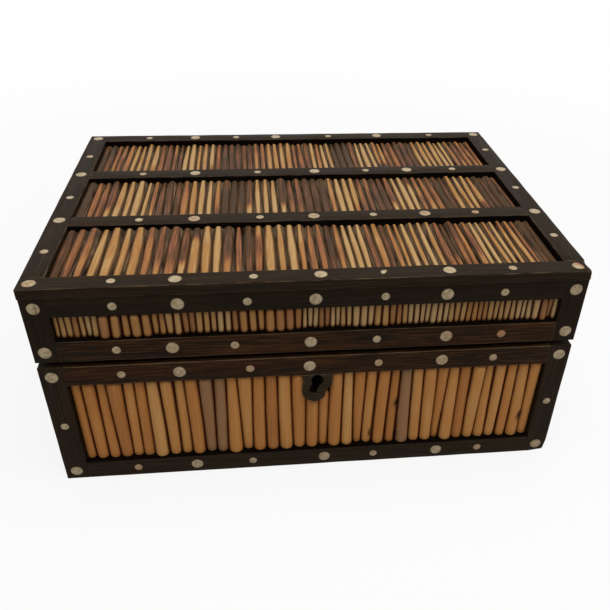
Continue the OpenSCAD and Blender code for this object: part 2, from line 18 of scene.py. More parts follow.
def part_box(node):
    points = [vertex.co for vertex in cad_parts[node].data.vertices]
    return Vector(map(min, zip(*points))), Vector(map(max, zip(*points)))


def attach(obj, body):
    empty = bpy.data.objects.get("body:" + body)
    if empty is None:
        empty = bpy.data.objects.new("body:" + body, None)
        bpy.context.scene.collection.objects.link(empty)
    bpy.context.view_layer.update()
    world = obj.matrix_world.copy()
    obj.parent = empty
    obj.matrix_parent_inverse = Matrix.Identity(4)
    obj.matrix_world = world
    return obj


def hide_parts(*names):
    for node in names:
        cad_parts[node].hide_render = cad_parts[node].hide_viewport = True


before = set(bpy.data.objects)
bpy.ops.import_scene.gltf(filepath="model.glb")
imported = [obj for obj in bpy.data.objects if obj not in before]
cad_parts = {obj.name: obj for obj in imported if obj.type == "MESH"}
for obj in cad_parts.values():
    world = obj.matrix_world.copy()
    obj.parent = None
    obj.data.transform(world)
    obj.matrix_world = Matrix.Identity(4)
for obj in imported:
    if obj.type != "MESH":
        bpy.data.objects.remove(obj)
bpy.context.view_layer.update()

MM = 0.001
LOG = logging.getLogger("casket")
# Values that most of a noise lies between
NOISE_RANGE = {"From Min": 0.3, "From Max": 0.7}

Colour = tuple[float, float, float, float]
Stops = tuple[tuple[float, str], ...]
Inputs = dict[int | str, object]
Material = bpy.types.Material
Socket = bpy.types.NodeSocket


class Axis(Enum):
    """An axis of the frame, as its index in a vector."""

    X = 0
    Y = 1
    Z = 2

    @property
    def direction(self) -> Vector:
        """Unit vector along the axis."""
        return Vector([1.0 if i == self.value else 0.0 for i in range(3)])


class Face(Enum):
    """A side of the box, as the direction that it looks in."""

    FRONT = (0, -1, 0)
    RIGHT = (1, 0, 0)
    BACK = (0, 1, 0)
    LEFT = (-1, 0, 0)
    TOP = (0, 0, 1)
    BOTTOM = (0, 0, -1)

    @property
    def outward(self) -> Vector:
        """Unit vector that points out of the face."""
        return Vector(self.value)

    @property
    def length_axis(self) -> Axis:
        """Axis that runs along the face's longer rails."""
        return Axis.Y if self in (Face.LEFT, Face.RIGHT) else Axis.X


WALLS = (Face.FRONT, Face.RIGHT, Face.BACK, Face.LEFT)


class Body(Enum):
    """The bodies that pieces ride on."""

    BASE = "base"
    LID = "lid"
    BOLT = "bolt"


class Tone(Enum):
    """Natural colours of quills, as places on the palette."""

    SLATE = 0.05
    UMBER = 0.2
    RUSSET = 0.4
    ORANGE = 0.58
    GOLD = 0.76
    CREAM = 0.95


def within(value: float) -> float:
    """Holds a value between 0 and 1."""
    return max(0.0, min(1.0, value))


def linear(code: str) -> Colour:
    """Turns an sRGB hex colour into linear RGBA, by the sRGB standard's curve.

    Args:
        code: The colour, such as "#2a211a".

    Returns:
        Red, green, blue and alpha for a shader socket.
    """
    shares = [int(code[i : i + 2], 16) / 255 for i in (1, 3, 5)]
    rgb = [s / 12.92 if s <= 0.04045 else ((s + 0.055) / 1.055) ** 2.4 for s in shares]
    return (rgb[0], rgb[1], rgb[2], 1.0)


class Recipe:
    """A material and its node tree."""

    def __init__(self, name: str, world: bpy.types.World | None = None) -> None:
        """Makes an empty recipe.

        Args:
            name: Name of the finish.
            world: The world, where the recipe is the backdrop's.
        """
        self.material = world or bpy.data.materials.new(name)
        self.material.use_nodes = True
        self.tree = self.material.node_tree
        self.shader = self.tree.nodes["Background" if world else "Principled BSDF"]

    def add(
        self,
        kind: str,
        inputs: Inputs | None = None,
        output: int | str = 0,
        stops: Stops = (),
        **settings: str,
    ) -> Socket:
        """Adds a node with its settings and links.

        Args:
            kind: Blender's name of the node type, after the word ShaderNode.
            inputs: Value or linked socket of each input.
            output: The output that is wanted.
            stops: Place and colour of each stop, for a colour ramp.
            **settings: Properties of the node.

        Returns:
            The socket of the output.
        """
        made = self.tree.nodes.new(f"ShaderNode{kind}")
        for name, value in settings.items():
            setattr(made, name, value)
        self.link(made, inputs or {})
        for i, (place, code) in enumerate(stops):
            ramp = made.color_ramp
            stop = ramp.elements[i] if i < len(ramp.elements) else ramp.elements.new(place)
            stop.position = place
            stop.color = linear(code)
        return made.outputs[output]

    def link(self, node: bpy.types.Node, inputs: Inputs) -> None:
        """Sets or links inputs of a node.

        Args:
            node: The node.
            inputs: Value or linked socket of each input.
        """
        for key, value in inputs.items():
            if isinstance(value, Socket):
                self.tree.links.new(value, node.inputs[key])
            else:
                node.inputs[key].default_value = value

    def finish(self, colour: Socket, roughness: float | Socket, **more: float | Socket) -> Material:
        """Sets the shader's inputs.

        Args:
            colour: The base colour.
            roughness: The roughness.
            **more: Other inputs, with a line for each space in their names.

        Returns:
            The material.
        """
        named = {name.replace("_", " "): value for name, value in more.items()}
        self.link(self.shader, {"Base Color": colour, "Roughness": roughness, **named})
        return self.material


@dataclass(frozen=True)
class Ebony:
    """Ceylon ebony, scraped and polished by hand.

    The eye reads a nearly black brown with long fine streaks, a soft sheen, and paler wood where
    the arrises are rubbed, which also serves as a painted highlight along them.
    """

    name: str = "ceylon_ebony_polished"
    heart: str = "#201911"
    figure: str = "#33281b"
    blush: str = "#3c281b"
    # Paler colour of the rounded arrises: rubbed wood, and a painted highlight along them.
    worn: str = "#7d6850"
    figure_start: float = 0.4
    figure_end: float = 0.62
    blush_start: float = 0.45
    blush_end: float = 0.7
    blush_share: float = 0.35
    streak_mm: float = 0.9
    streak_length_mm: float = 32.0
    streak_depth_mm: float = 0.1
    relief: float = 0.25
    zone_mm: float = 7.0
    zone_length_mm: float = 140.0
    wear_and_highlight_per_mm: float = 0.11
    wear_and_highlight_start: float = 0.4
    wear_and_highlight_end: float = 0.64
    wear_and_highlight_share: float = 0.85
    roughness: float = 0.5
    roughness_swing: tuple[float, float] = (-0.06, 0.1)
    specular: float = 0.12
    ior: float = 1.3

    def make(self) -> Material:
        """Builds the material."""
        recipe = Recipe(self.name)
        grain = recipe.add("Attribute", output="Vector", attribute_name="grain_mm")
        thin = 1 / self.streak_mm
        fine = recipe.add("Mapping", {"Vector": grain, "Scale": (1 / self.streak_length_mm, thin, thin)})
        streaks = recipe.add("TexNoise", {"Vector": fine, "Scale": 1.0, "Detail": 6.0, "Roughness": 0.62})
        wide = 1 / self.zone_mm
        broad = recipe.add("Mapping", {"Vector": grain, "Scale": (1 / self.zone_length_mm, wide, wide)})
        zones = recipe.add("TexNoise", {"Vector": broad, "Scale": 1.0, "Detail": 2.0})
        figure = ((self.figure_start, self.heart), (self.figure_end, self.figure))
        body = recipe.add("ValToRGB", {"Fac": streaks}, stops=figure)
        red = recipe.add(
            "MapRange",
            {
                "Value": zones,
                "From Min": self.blush_start,
                "From Max": self.blush_end,
                "To Max": self.blush_share,
            },
        )
        red_lines = recipe.add("Math", {0: red, 1: streaks}, operation="MULTIPLY")
        red_body = recipe.add("Mix", {0: red_lines, 6: body, 7: linear(self.blush)}, 2, data_type="RGBA")
        # Rounded arrises painted paler in patches: rubbed wood, and a painted highlight.
        wear = recipe.add("Attribute", output="Fac", attribute_name="wear")
        rubbed = recipe.add("TexNoise", {"Vector": grain, "Scale": self.wear_and_highlight_per_mm, "Detail": 4.0})
        rubbed_and_highlight_part = recipe.add(
            "MapRange",
            {
                "Value": rubbed,
                "From Min": self.wear_and_highlight_start,
                "From Max": self.wear_and_highlight_end,
                "To Max": self.wear_and_highlight_share,
            },
        )
        worn_and_highlight_part = recipe.add("Math", {0: wear, 1: rubbed_and_highlight_part}, operation="MULTIPLY")
        colour = recipe.add("Mix", {0: worn_and_highlight_part, 6: red_body, 7: linear(self.worn)}, 2, data_type="RGBA")
        low, high = (self.roughness + swing for swing in self.roughness_swing)
        gloss = recipe.add("MapRange", {"Value": zones, **NOISE_RANGE, "To Min": low, "To Max": high})
        depth = self.streak_depth_mm * MM
        bump = recipe.add("Bump", {"Height": streaks, "Strength": self.relief, "Distance": depth})
        return recipe.finish(colour, gloss, Specular_IOR_Level=self.specular, IOR=self.ior, Normal=bump)


@dataclass(frozen=True)
class Quill:
    """Porcupine quill, washed and left natural.

    The eye reads satin keratin in bands of natural colour, with fine lines along it, flanks darkened
    by painted shade and old varnish, and painted shade with grit in the seam between one quill and the next.
    """

    name: str
    palette: Stops
    # Flank and seam colours: painted shade where the round quill turns from the light, with old varnish and
    # grit.
    flank: str = "#5f4227"
    flank_line: str = "#241407"
    flank_start: float = 0.38
    flank_end: float = 0.7
    flank_strength: float = 0.92
    line_start: float = 0.63
    line_fall: float = -0.9
    line_stops: tuple[float, float] = (0.32, 0.56)
    seam: str = "#7d6850"
    seam_start: float = 0.94
    seam_fade: float = 0.05
    seam_stops: tuple[float, float] = (0.36, 0.66)
    # Colour of the spots: stains, and painted shade round the keyhole.
    spot: str = "#1d0f07"
    fibre_mm: float = 0.5
    fibre_length_mm: float = 26.0
    fibre_depth_mm: float = 0.08
    fibre_strength: float = 0.13
    fibre_range: tuple[float, float] = (0.25, 0.75)
    relief: float = 0.3
    patch_mm: float = 22.0
    patch_reach: float = 0.04
    roughness: float = 0.45
    roughness_swing: tuple[float, float] = (-0.07, 0.1)
    specular: float = 0.22
    ior: float = 1.45

    def make(self) -> Material:
        """Builds the material."""
        recipe = Recipe(self.name)
        place = recipe.add("Attribute", output="Vector", attribute_name="quill_mm")
        tone, flank, spot = (
            recipe.add("Attribute", output="Fac", attribute_name=name) for name in ("tone", "flank", "spot")
        )
        along = recipe.add(
            "Mapping", {"Vector": place, "Scale": (1 / self.fibre_length_mm, 1 / self.fibre_mm, 1.0)}
        )
        fibres = recipe.add("TexNoise", {"Vector": along, "Scale": 1.0, "Detail": 4.0, "Roughness": 0.6})
        reach = self.fibre_strength
        low, high = self.fibre_range
        swing = recipe.add(
            "MapRange",
            {"Value": fibres, "From Min": low, "From Max": high, "To Min": -reach, "To Max": reach},
        )
        mixed_tone = recipe.add("Math", {0: tone, 1: swing}, operation="ADD")
        natural = recipe.add("ValToRGB", {"Fac": mixed_tone}, stops=self.palette)
        long_places = recipe.add("Mapping", {"Vector": place, "Scale": (1 / self.patch_mm, 0.0, 1.0)})
        patches = recipe.add("TexNoise", {"Vector": long_places, "Scale": 1.0, "Detail": 2.0})
        reach = self.patch_reach
        shade_and_grit_reach = recipe.add(
            "MapRange", {"Value": patches, **NOISE_RANGE, "To Min": -reach, "To Max": reach}
        )
        # How far towards the flank or seam a point lies, made patchy; it sets the painted shade and varnish
        # there.
        side = recipe.add("Math", {0: flank, 1: shade_and_grit_reach}, operation="ADD")
        dull = recipe.add(
            "MapRange",
            {
                "Value": side,
                "From Min": self.flank_start,
                "From Max": self.flank_end,
                "To Max": self.flank_strength,
            },
            interpolation_type="SMOOTHSTEP",
        )
        # Darker lines deeper in the flank: painted shade.
        depth = recipe.add(
            "Math", {0: side, 1: self.line_fall, 2: self.line_start}, operation="MULTIPLY_ADD"
        )
        lined = recipe.add("Math", {0: depth, 1: fibres}, operation="ADD")
        lines = tuple(zip(self.line_stops, (self.flank_line, self.flank)))
        varnish = recipe.add("ValToRGB", {"Fac": lined}, stops=lines)
        shaded_flanks = recipe.add("Mix", {0: dull, 6: natural, 7: varnish}, 2, data_type="RGBA")
        starts, ends = self.seam_start - self.seam_fade, self.seam_start + self.seam_fade
        # Seams and rounded ends: painted shade, with grit by patches.
        in_seam_share = recipe.add(
            "MapRange", {"Value": side, "From Min": starts, "From Max": ends}, interpolation_type="SMOOTHSTEP"
        )
        seam_shade_and_grit_stops = tuple(zip(self.seam_stops, (self.flank_line, self.seam)))
        seam_shade_and_grit = recipe.add("ValToRGB", {"Fac": patches}, stops=seam_shade_and_grit_stops)
        seamed = recipe.add("Mix", {0: in_seam_share, 6: shaded_flanks, 7: seam_shade_and_grit}, 2, data_type="RGBA")
        colour = recipe.add("Mix", {0: spot, 6: seamed, 7: linear(self.spot)}, 2, data_type="RGBA")
        low, high = (self.roughness + swing for swing in self.roughness_swing)
        gloss = recipe.add("MapRange", {"Value": patches, **NOISE_RANGE, "To Min": low, "To Max": high})
        furrow = self.fibre_depth_mm * MM
        bump = recipe.add("Bump", {"Height": fibres, "Strength": self.relief, "Distance": furrow})
        return recipe.finish(colour, gloss, Specular_IOR_Level=self.specular, IOR=self.ior, Normal=bump)


@dataclass(frozen=True)
class Bone:
    """Bone, sawn across, let in and polished flush.

    The eye reads warm cream with fine brown pores, a browner rim of old glue, and stains.
    """

    name: str = "bone_polished"
    clean: str = "#c2b08d"
    mottle: str = "#9f8863"
    pore: str = "#513a20"
    rim: str = "#38281a"
    stain: str = "#a4673a"
    pore_mm: float = 0.55
    pore_depth_mm: float = 0.1
    pore_start: float = 0.6
    pore_end: float = 0.74
    pore_share: float = 0.75
    relief: float = 0.2
    mottle_mm: float = 2.2
    mottle_stops: tuple[float, float] = (0.36, 0.56)
    roughness: float = 0.4
    specular: float = 0.4
    ior: float = 1.55

    def make(self) -> Material:
        """Builds the material."""
        recipe = Recipe(self.name)
        place = recipe.add("Attribute", output="Vector", attribute_name="disc_mm")
        edge, stain = (
            recipe.add("Attribute", output="Fac", attribute_name=name) for name in ("edge", "stain")
        )
        clouds = recipe.add("TexNoise", {"Vector": place, "Scale": 1 / self.mottle_mm, "Detail": 3.0})
        pores = recipe.add("TexNoise", {"Vector": place, "Scale": 1 / self.pore_mm, "Detail": 2.0})
        mottled = tuple(zip(self.mottle_stops, (self.mottle, self.clean)))
        start, end = self.pore_start, self.pore_end
        pored = recipe.add(
            "MapRange", {"Value": pores, "From Min": start, "From Max": end, "To Max": self.pore_share}
        )
        colour = recipe.add("ValToRGB", {"Fac": clouds}, stops=mottled)
        for share, code in ((pored, self.pore), (edge, self.rim), (stain, self.stain)):
            colour = recipe.add("Mix", {0: share, 6: colour, 7: linear(code)}, 2, data_type="RGBA")
        depth = -self.pore_depth_mm * MM
        bump = recipe.add("Bump", {"Height": pores, "Strength": self.relief, "Distance": depth})
        return recipe.finish(
            colour, self.roughness, Specular_IOR_Level=self.specular, IOR=self.ior, Normal=bump
        )


@dataclass(frozen=True)
class CarcassWood:
    """Jackwood boards, planed and oiled.

    The eye reads an even golden brown with open grain along the board and darker end pores.
    """

    along: Axis
    name: str = "jackwood_oiled"
    pale: str = "#94673a"
    dark: str = "#654224"
    grain_mm: float = 1.6
    grain_length_mm: float = 70.0
    grain_depth_mm: float = 0.15
    grain_stops: tuple[float, float] = (0.36, 0.64)
    relief: float = 0.3
    waviness: float = 0.4
    roughness: float = 0.55
    specular: float = 0.3

    def make(self) -> Material:
        """Builds the material."""
        recipe = Recipe(f"{self.name}_along_{self.along.name.lower()}")
        place = recipe.add("TexCoord", output="Object")
        sizes = [self.grain_length_mm if axis is self.along else self.grain_mm for axis in Axis]
        stretched = recipe.add("Mapping", {"Vector": place, "Scale": [1 / (MM * size) for size in sizes]})
        detail = {"Detail": 7.0, "Roughness": 0.6, "Distortion": self.waviness}
        grain = recipe.add("TexNoise", {"Vector": stretched, "Scale": 1.0, **detail})
        stops = tuple(zip(self.grain_stops, (self.dark, self.pale)))
        colour = recipe.add("ValToRGB", {"Fac": grain}, stops=stops)
        depth = self.grain_depth_mm * MM
        bump = recipe.add("Bump", {"Height": grain, "Strength": self.relief, "Distance": depth})
        return recipe.finish(colour, self.roughness, Specular_IOR_Level=self.specular, Normal=bump)


@dataclass(frozen=True)
class Brass:
    """Sheet and rod brass, filed, and dulled by age.

    The eye reads a soft yellow metal with brown tarnish in patches and fine file marks.
    """

    name: str = "brass_filed_aged"
    bright: str = "#b39355"
    tarnish: str = "#86683a"
    patch_mm: float = 6.0
    patch_stops: tuple[float, float] = (0.36, 0.62)
    patch_range: tuple[float, float] = (0.35, 0.65)
    file_mm: float = 0.25
    file_length: float = 30.0
    file_depth_mm: float = 0.04
    relief: float = 0.15
    roughness: float = 0.38
    tarnish_roughness: float = 0.2

    def make(self) -> Material:
        """Builds the material."""
        recipe = Recipe(self.name)
        place = recipe.add("TexCoord", output="Object")
        patch_scale = 1 / (self.patch_mm * MM)
        patches = recipe.add("TexNoise", {"Vector": place, "Scale": patch_scale, "Detail": 3.0})
        file_scale = 1 / (self.file_mm * MM)
        stroke = (file_scale / self.file_length, file_scale, file_scale)
        stretched = recipe.add("Mapping", {"Vector": place, "Scale": stroke})
        marks = recipe.add("TexNoise", {"Vector": stretched, "Scale": 1.0, "Detail": 2.0})
        stops = tuple(zip(self.patch_stops, (self.tarnish, self.bright)))
        colour = recipe.add("ValToRGB", {"Fac": patches}, stops=stops)
        low, high = self.patch_range
        dull = self.roughness + self.tarnish_roughness
        gloss = recipe.add(
            "MapRange",
            {"Value": patches, "From Min": low, "From Max": high, "To Min": dull, "To Max": self.roughness},
        )
        depth = self.file_depth_mm * MM
        bump = recipe.add("Bump", {"Height": marks, "Strength": self.relief, "Distance": depth})
        return recipe.finish(colour, gloss, Metallic=1.0, Normal=bump)


def palette(*codes: str) -> Stops:
    """Places one colour at each tone, in the tones' own order."""
    return tuple((tone.value, code) for tone, code in zip(Tone, codes))


TOP_PALETTE = palette("#4a3929", "#62412c", "#8a583c", "#ab7243", "#b2844c", "#c09b69")
LID_PALETTE = palette("#745238", "#865c3a", "#a57348", "#ae7c46", "#ba8f5a", "#c4a273")
BASE_PALETTE = palette("#9f7854", "#a36c3e", "#b87a42", "#c58447", "#cd9050", "#d6a264")


class Finishes:
    """Every finish of the box, made once."""

    def __init__(self) -> None:
        """Makes the finishes."""
        self.strip = Ebony().make()
        self.post = Ebony("ceylon_ebony_post", "#201810", wear_and_highlight_share=0.1).make()
        self.black_rail = Ebony(
            "ceylon_ebony_black", "#1a140c", "#291f14", "#302116", wear_and_highlight_share=0.12
        ).make()
        self.brown_rail = Ebony(
            "ceylon_ebony_brown",
            "#1c130a",
            "#593b23",
            "#553421",
            figure_start=0.46,
            figure_end=0.74,
            blush_share=0.6,
            streak_mm=0.7,
            streak_length_mm=20.0,
            # Wider paler arrises on these rails: rubbed wood, and a painted highlight along their edges.
            wear_and_highlight_start=0.22,
            wear_and_highlight_end=0.48,
        ).make()
        # A darker copy of the ebony: painted shade on faces turned from the light, with grimy varnish.
        self.shade_and_grime = Ebony(
            "ceylon_ebony_grimy", "#0a0705", "#130d08", "#170f09", "#3d2d1f", roughness=0.7, specular=0.05
        ).make()
        self.shield = Ebony(
            "horn_black_scraped", "#272014", "#382f21", "#402c1e", "#6f6250", streak_mm=2.0
        ).make()
        self.top_quill = Quill(
            "porcupine_quill_banded",
            TOP_PALETTE,
            fibre_mm=0.7,
            fibre_length_mm=20.0,
            fibre_strength=0.32,
            specular=0.08,
        ).make()
        self.thin_quill = Quill(
            "porcupine_quill_thin",
            LID_PALETTE,
            flank="#4c2208",
            flank_line="#341404",
            flank_start=0.42,
            flank_end=0.88,
            flank_strength=1.0,
            seam="#381704",
            specular=0.15,
        ).make()
        self.thick_quill = Quill(
            "porcupine_quill_thick",
            BASE_PALETTE,
            flank="#5c2908",
            flank_line="#421a04",
            flank_start=0.68,
            flank_end=0.98,
            flank_strength=1.0,
            seam="#4c1f06",
            fibre_mm=0.6,
            fibre_length_mm=40.0,
            fibre_strength=0.2,
            specular=0.15,
        ).make()
        self.bone = Bone().make()
        self.wood = {axis: CarcassWood(axis).make() for axis in (Axis.X, Axis.Y)}
        self.brass = Brass().make()
        self.dark_brass = Brass("brass_blackened_by_oil", "#2b2117", "#140f0a", roughness=0.55).make()


@dataclass
class Draft:
    """A mesh on the bench: its points, faces and marks, before it becomes a piece."""

    points: list[Vector] = field(default_factory=list)
    faces: list[tuple[int, ...]] = field(default_factory=list)
    marks: dict[str, list[float]] = field(default_factory=dict)
    places: dict[str, list[Vector]] = field(default_factory=dict)
    finish_of_face: list[int] = field(default_factory=list)

    def point(self, at: Vector, marks: dict[str, float], places: dict[str, Vector]) -> int:
        """Adds a point.

        Args:
            at: Where it lies, in metres.
            marks: Value of each number painted on it.
            places: Value of each vector painted on it, in millimetres.

        Returns:
            The point's index.
        """
        self.points.append(at)
        for name, value in marks.items():
            self.marks.setdefault(name, []).append(value)
        for name, vector in places.items():
            self.places.setdefault(name, []).append(vector)
        return len(self.points) - 1

    def join(self, rings: list[list[int]], finish: int = 0) -> None:
        """Joins each ring of points to the next with faces.

        Args:
            rings: Rings of the same number of points.
            finish: Number of the faces' finish.
        """
        for low, high in zip(rings, rings[1:]):
            for i in range(len(low)):
                j = (i + 1) % len(low)
                self.faces.append((low[i], low[j], high[j], high[i]))
                self.finish_of_face.append(finish)

    def fan(self, ring: list[int], tip: int, flip: bool = False) -> None:
        """Closes a ring towards one point.

        Args:
            ring: The ring's points.
            tip: The point that they run to.
            flip: Whether the faces turn the other way.
        """
        for i, start in enumerate(ring):
            end = ring[(i + 1) % len(ring)]
            self.faces.append((end, start, tip) if flip else (start, end, tip))
            self.finish_of_face.append(0)

    def piece(self, name: str, body: Body, slot: str, node: str, *finishes: Material) -> None:
        """Turns the draft into a piece that stands for a node of the frame.

        Args:
            name: The piece's name.
            body: The body that it rides on.
            slot: Not used.
            node: The node that it replaces.
            *finishes: Its finishes, by number.
        """
        mesh = bpy.data.meshes.new(name)
        mesh.from_pydata([p[:] for p in self.points], [], self.faces)
        for mark, values in self.marks.items():
            mesh.attributes.new(mark, "FLOAT", "POINT").data.foreach_set("value", values)
        for mark, vectors in self.places.items():
            flat = [c for v in vectors for c in v]
            mesh.attributes.new(mark, "FLOAT_VECTOR", "POINT").data.foreach_set("vector", flat)
        mesh.polygons.foreach_set("use_smooth", [True] * len(mesh.polygons))
        mesh.polygons.foreach_set("material_index", self.finish_of_face)
        mesh.validate()
        for finish in finishes:
            mesh.materials.append(finish)
        made = bpy.data.objects.new(name, mesh)
        bpy.context.scene.collection.objects.link(made)
        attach(made, body.value)
        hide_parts(node)
        LOG.info("%s: %d points, rides on %s", name, len(self.points), body.value)


@dataclass(frozen=True)
class Solid:
    """One separate solid of a node, as its box."""

    low: Vector
    high: Vector

    @property
    def centre(self) -> Vector:
        """Middle of the box."""
        return (self.low + self.high) / 2

    @property
    def size(self) -> Vector:
        """Size of the box along each axis."""
        return self.high - self.low


def solids_of(node: str) -> list[Solid]:
    """Finds the separate solids of a node, by joining points that share an edge.

    Args:
        node: The node's name.

    Returns:
        The box of each solid, from left to right, front to back and bottom to top.
    """
    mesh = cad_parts[node].data
    keys = [tuple(round(c / MM, 3) for c in v.co) for v in mesh.vertices]
    parent = {key: key for key in keys}

    def root(key: tuple[float, ...]) -> tuple[float, ...]:
        """Finds the first point of a solid.

        Args:
            key: Any of its points.

        Returns:
            The point that stands for the solid.
        """
        while parent[key] != key:
            parent[key] = parent[parent[key]]
            key = parent[key]
        return key

    for edge in mesh.edges:
        first, second = (root(keys[i]) for i in edge.vertices)
        parent[first] = second
    groups: dict[tuple[float, ...], list[tuple[float, ...]]] = {}
    for key in parent:
        groups.setdefault(root(key), []).append(key)
    solids = []
    for points in groups.values():
        columns = list(zip(*points))
        low = Vector([min(c) for c in columns]) * MM
        high = Vector([max(c) for c in columns]) * MM
        solids.append(Solid(low, high))
    return sorted(solids, key=lambda s: (round(s.centre.x, 5), round(s.centre.y, 5), s.centre.z))


@dataclass(frozen=True)
class Bands:
    """Natural colours of one quill: its main one, and its foot's and tip's where they differ."""

    main: Tone
    foot: Tone | None = None
    tip: Tone | None = None


LETTERS = {tone.name[0]: tone for tone in Tone}


def read_row(words: str) -> list[Bands]:
    """Reads the colours of a row of quills, from left to right.

    Args:
        words: A capital for each quill, the first letter of its tone. Like quills make a word. A
            small letter before or after the capitals is the tone of the quills' feet or tips.

    Returns:
        The quills' colours.
    """
    row = []
    for word in words.split():
        foot = LETTERS[word[0].upper()] if word[0].islower() else None
        tip = LETTERS[word[-1].upper()] if word[-1].islower() else None
        row += [Bands(LETTERS[letter], foot, tip) for letter in word if letter.isupper()]
    return row


BASE_FRONT_ROW = read_row(
    "OOO R G O C GG O SS GG O R G OO G OO C O G O R S GG O G R GGG O GG C"
)
LID_FRONT_ROW = read_row(
    "GGG R G C G R OOOOOO GG RR GGG CC R OOOOO RRR CCC RR CC G CCCC GG RR G CC U CCCCC GGG OOOO"
    " GGGGG CCCC RR CC"
)
TOP_ROWS = {
    "front": read_row(
        "S R Or GGG Go Or oRR cU Gu GG C oU R U Rg GG C G O R S OO CCC R G U O G C G C G R Or oU R O"
        " gR CC G C GGo R SS Ug"
    ),
    "middle": read_row(
        "S RR gU cGG CC gO UUU O G CC rO SSS cU CCC cU RR U SS G CC oG RR UU cR CC Cu R gR R S U G"
        " GGc uG SSS UU"
    ),
    "back": read_row(
        "S O R O GGG oC R U Rg U CC GG rC R UUUU OO GGGG RRR C O C G SSS R CC uGG RR UUU GGGG CC O"
        " oRRRR"
    ),
}

BASE_TONES = {Tone.SLATE: 1, Tone.RUSSET: 3, Tone.ORANGE: 8, Tone.GOLD: 10, Tone.CREAM: 2}
LID_TONES = {Tone.UMBER: 1, Tone.RUSSET: 4, Tone.ORANGE: 4, Tone.GOLD: 8, Tone.CREAM: 4}
UMBER_FEET = (None, None, None, None, Tone.CREAM)


def chance_row(seed: int, choices: dict[Tone, int], longest: int, count: int = 80) -> list[Bands]:
    """Colours of a row of quills in an order that a maker's hand might pick.

    Args:
        seed: Seed of the draws.
        choices: Weight of each tone.
        longest: The most quills of one tone together.
        count: How many quills at least.

    Returns:
        The quills' colours.
    """
    picker = random.Random(seed)
    row: list[Bands] = []
    while len(row) < count:
        tone = picker.choices(list(choices), weights=list(choices.values()))[0]
        foot = picker.choice(UMBER_FEET) if tone is Tone.UMBER else None
        row += [Bands(tone, foot)] * picker.randint(1, longest)
    return row


@dataclass(frozen=True)
class Spot:
    """Dark mark on a panel of upright quills, twice as high as wide, by its place in millimetres: a stain,
    and round the keyhole painted shade.
    """

    along: float
    height: float
    radius: float

    def cover(self, along: float, height: float) -> float:
        """How strongly the stain covers a place, from 0 to 1."""
        away = math.hypot(along - self.along, (height - self.height) / 2)
        return within((1 - away / self.radius) * 1.6)


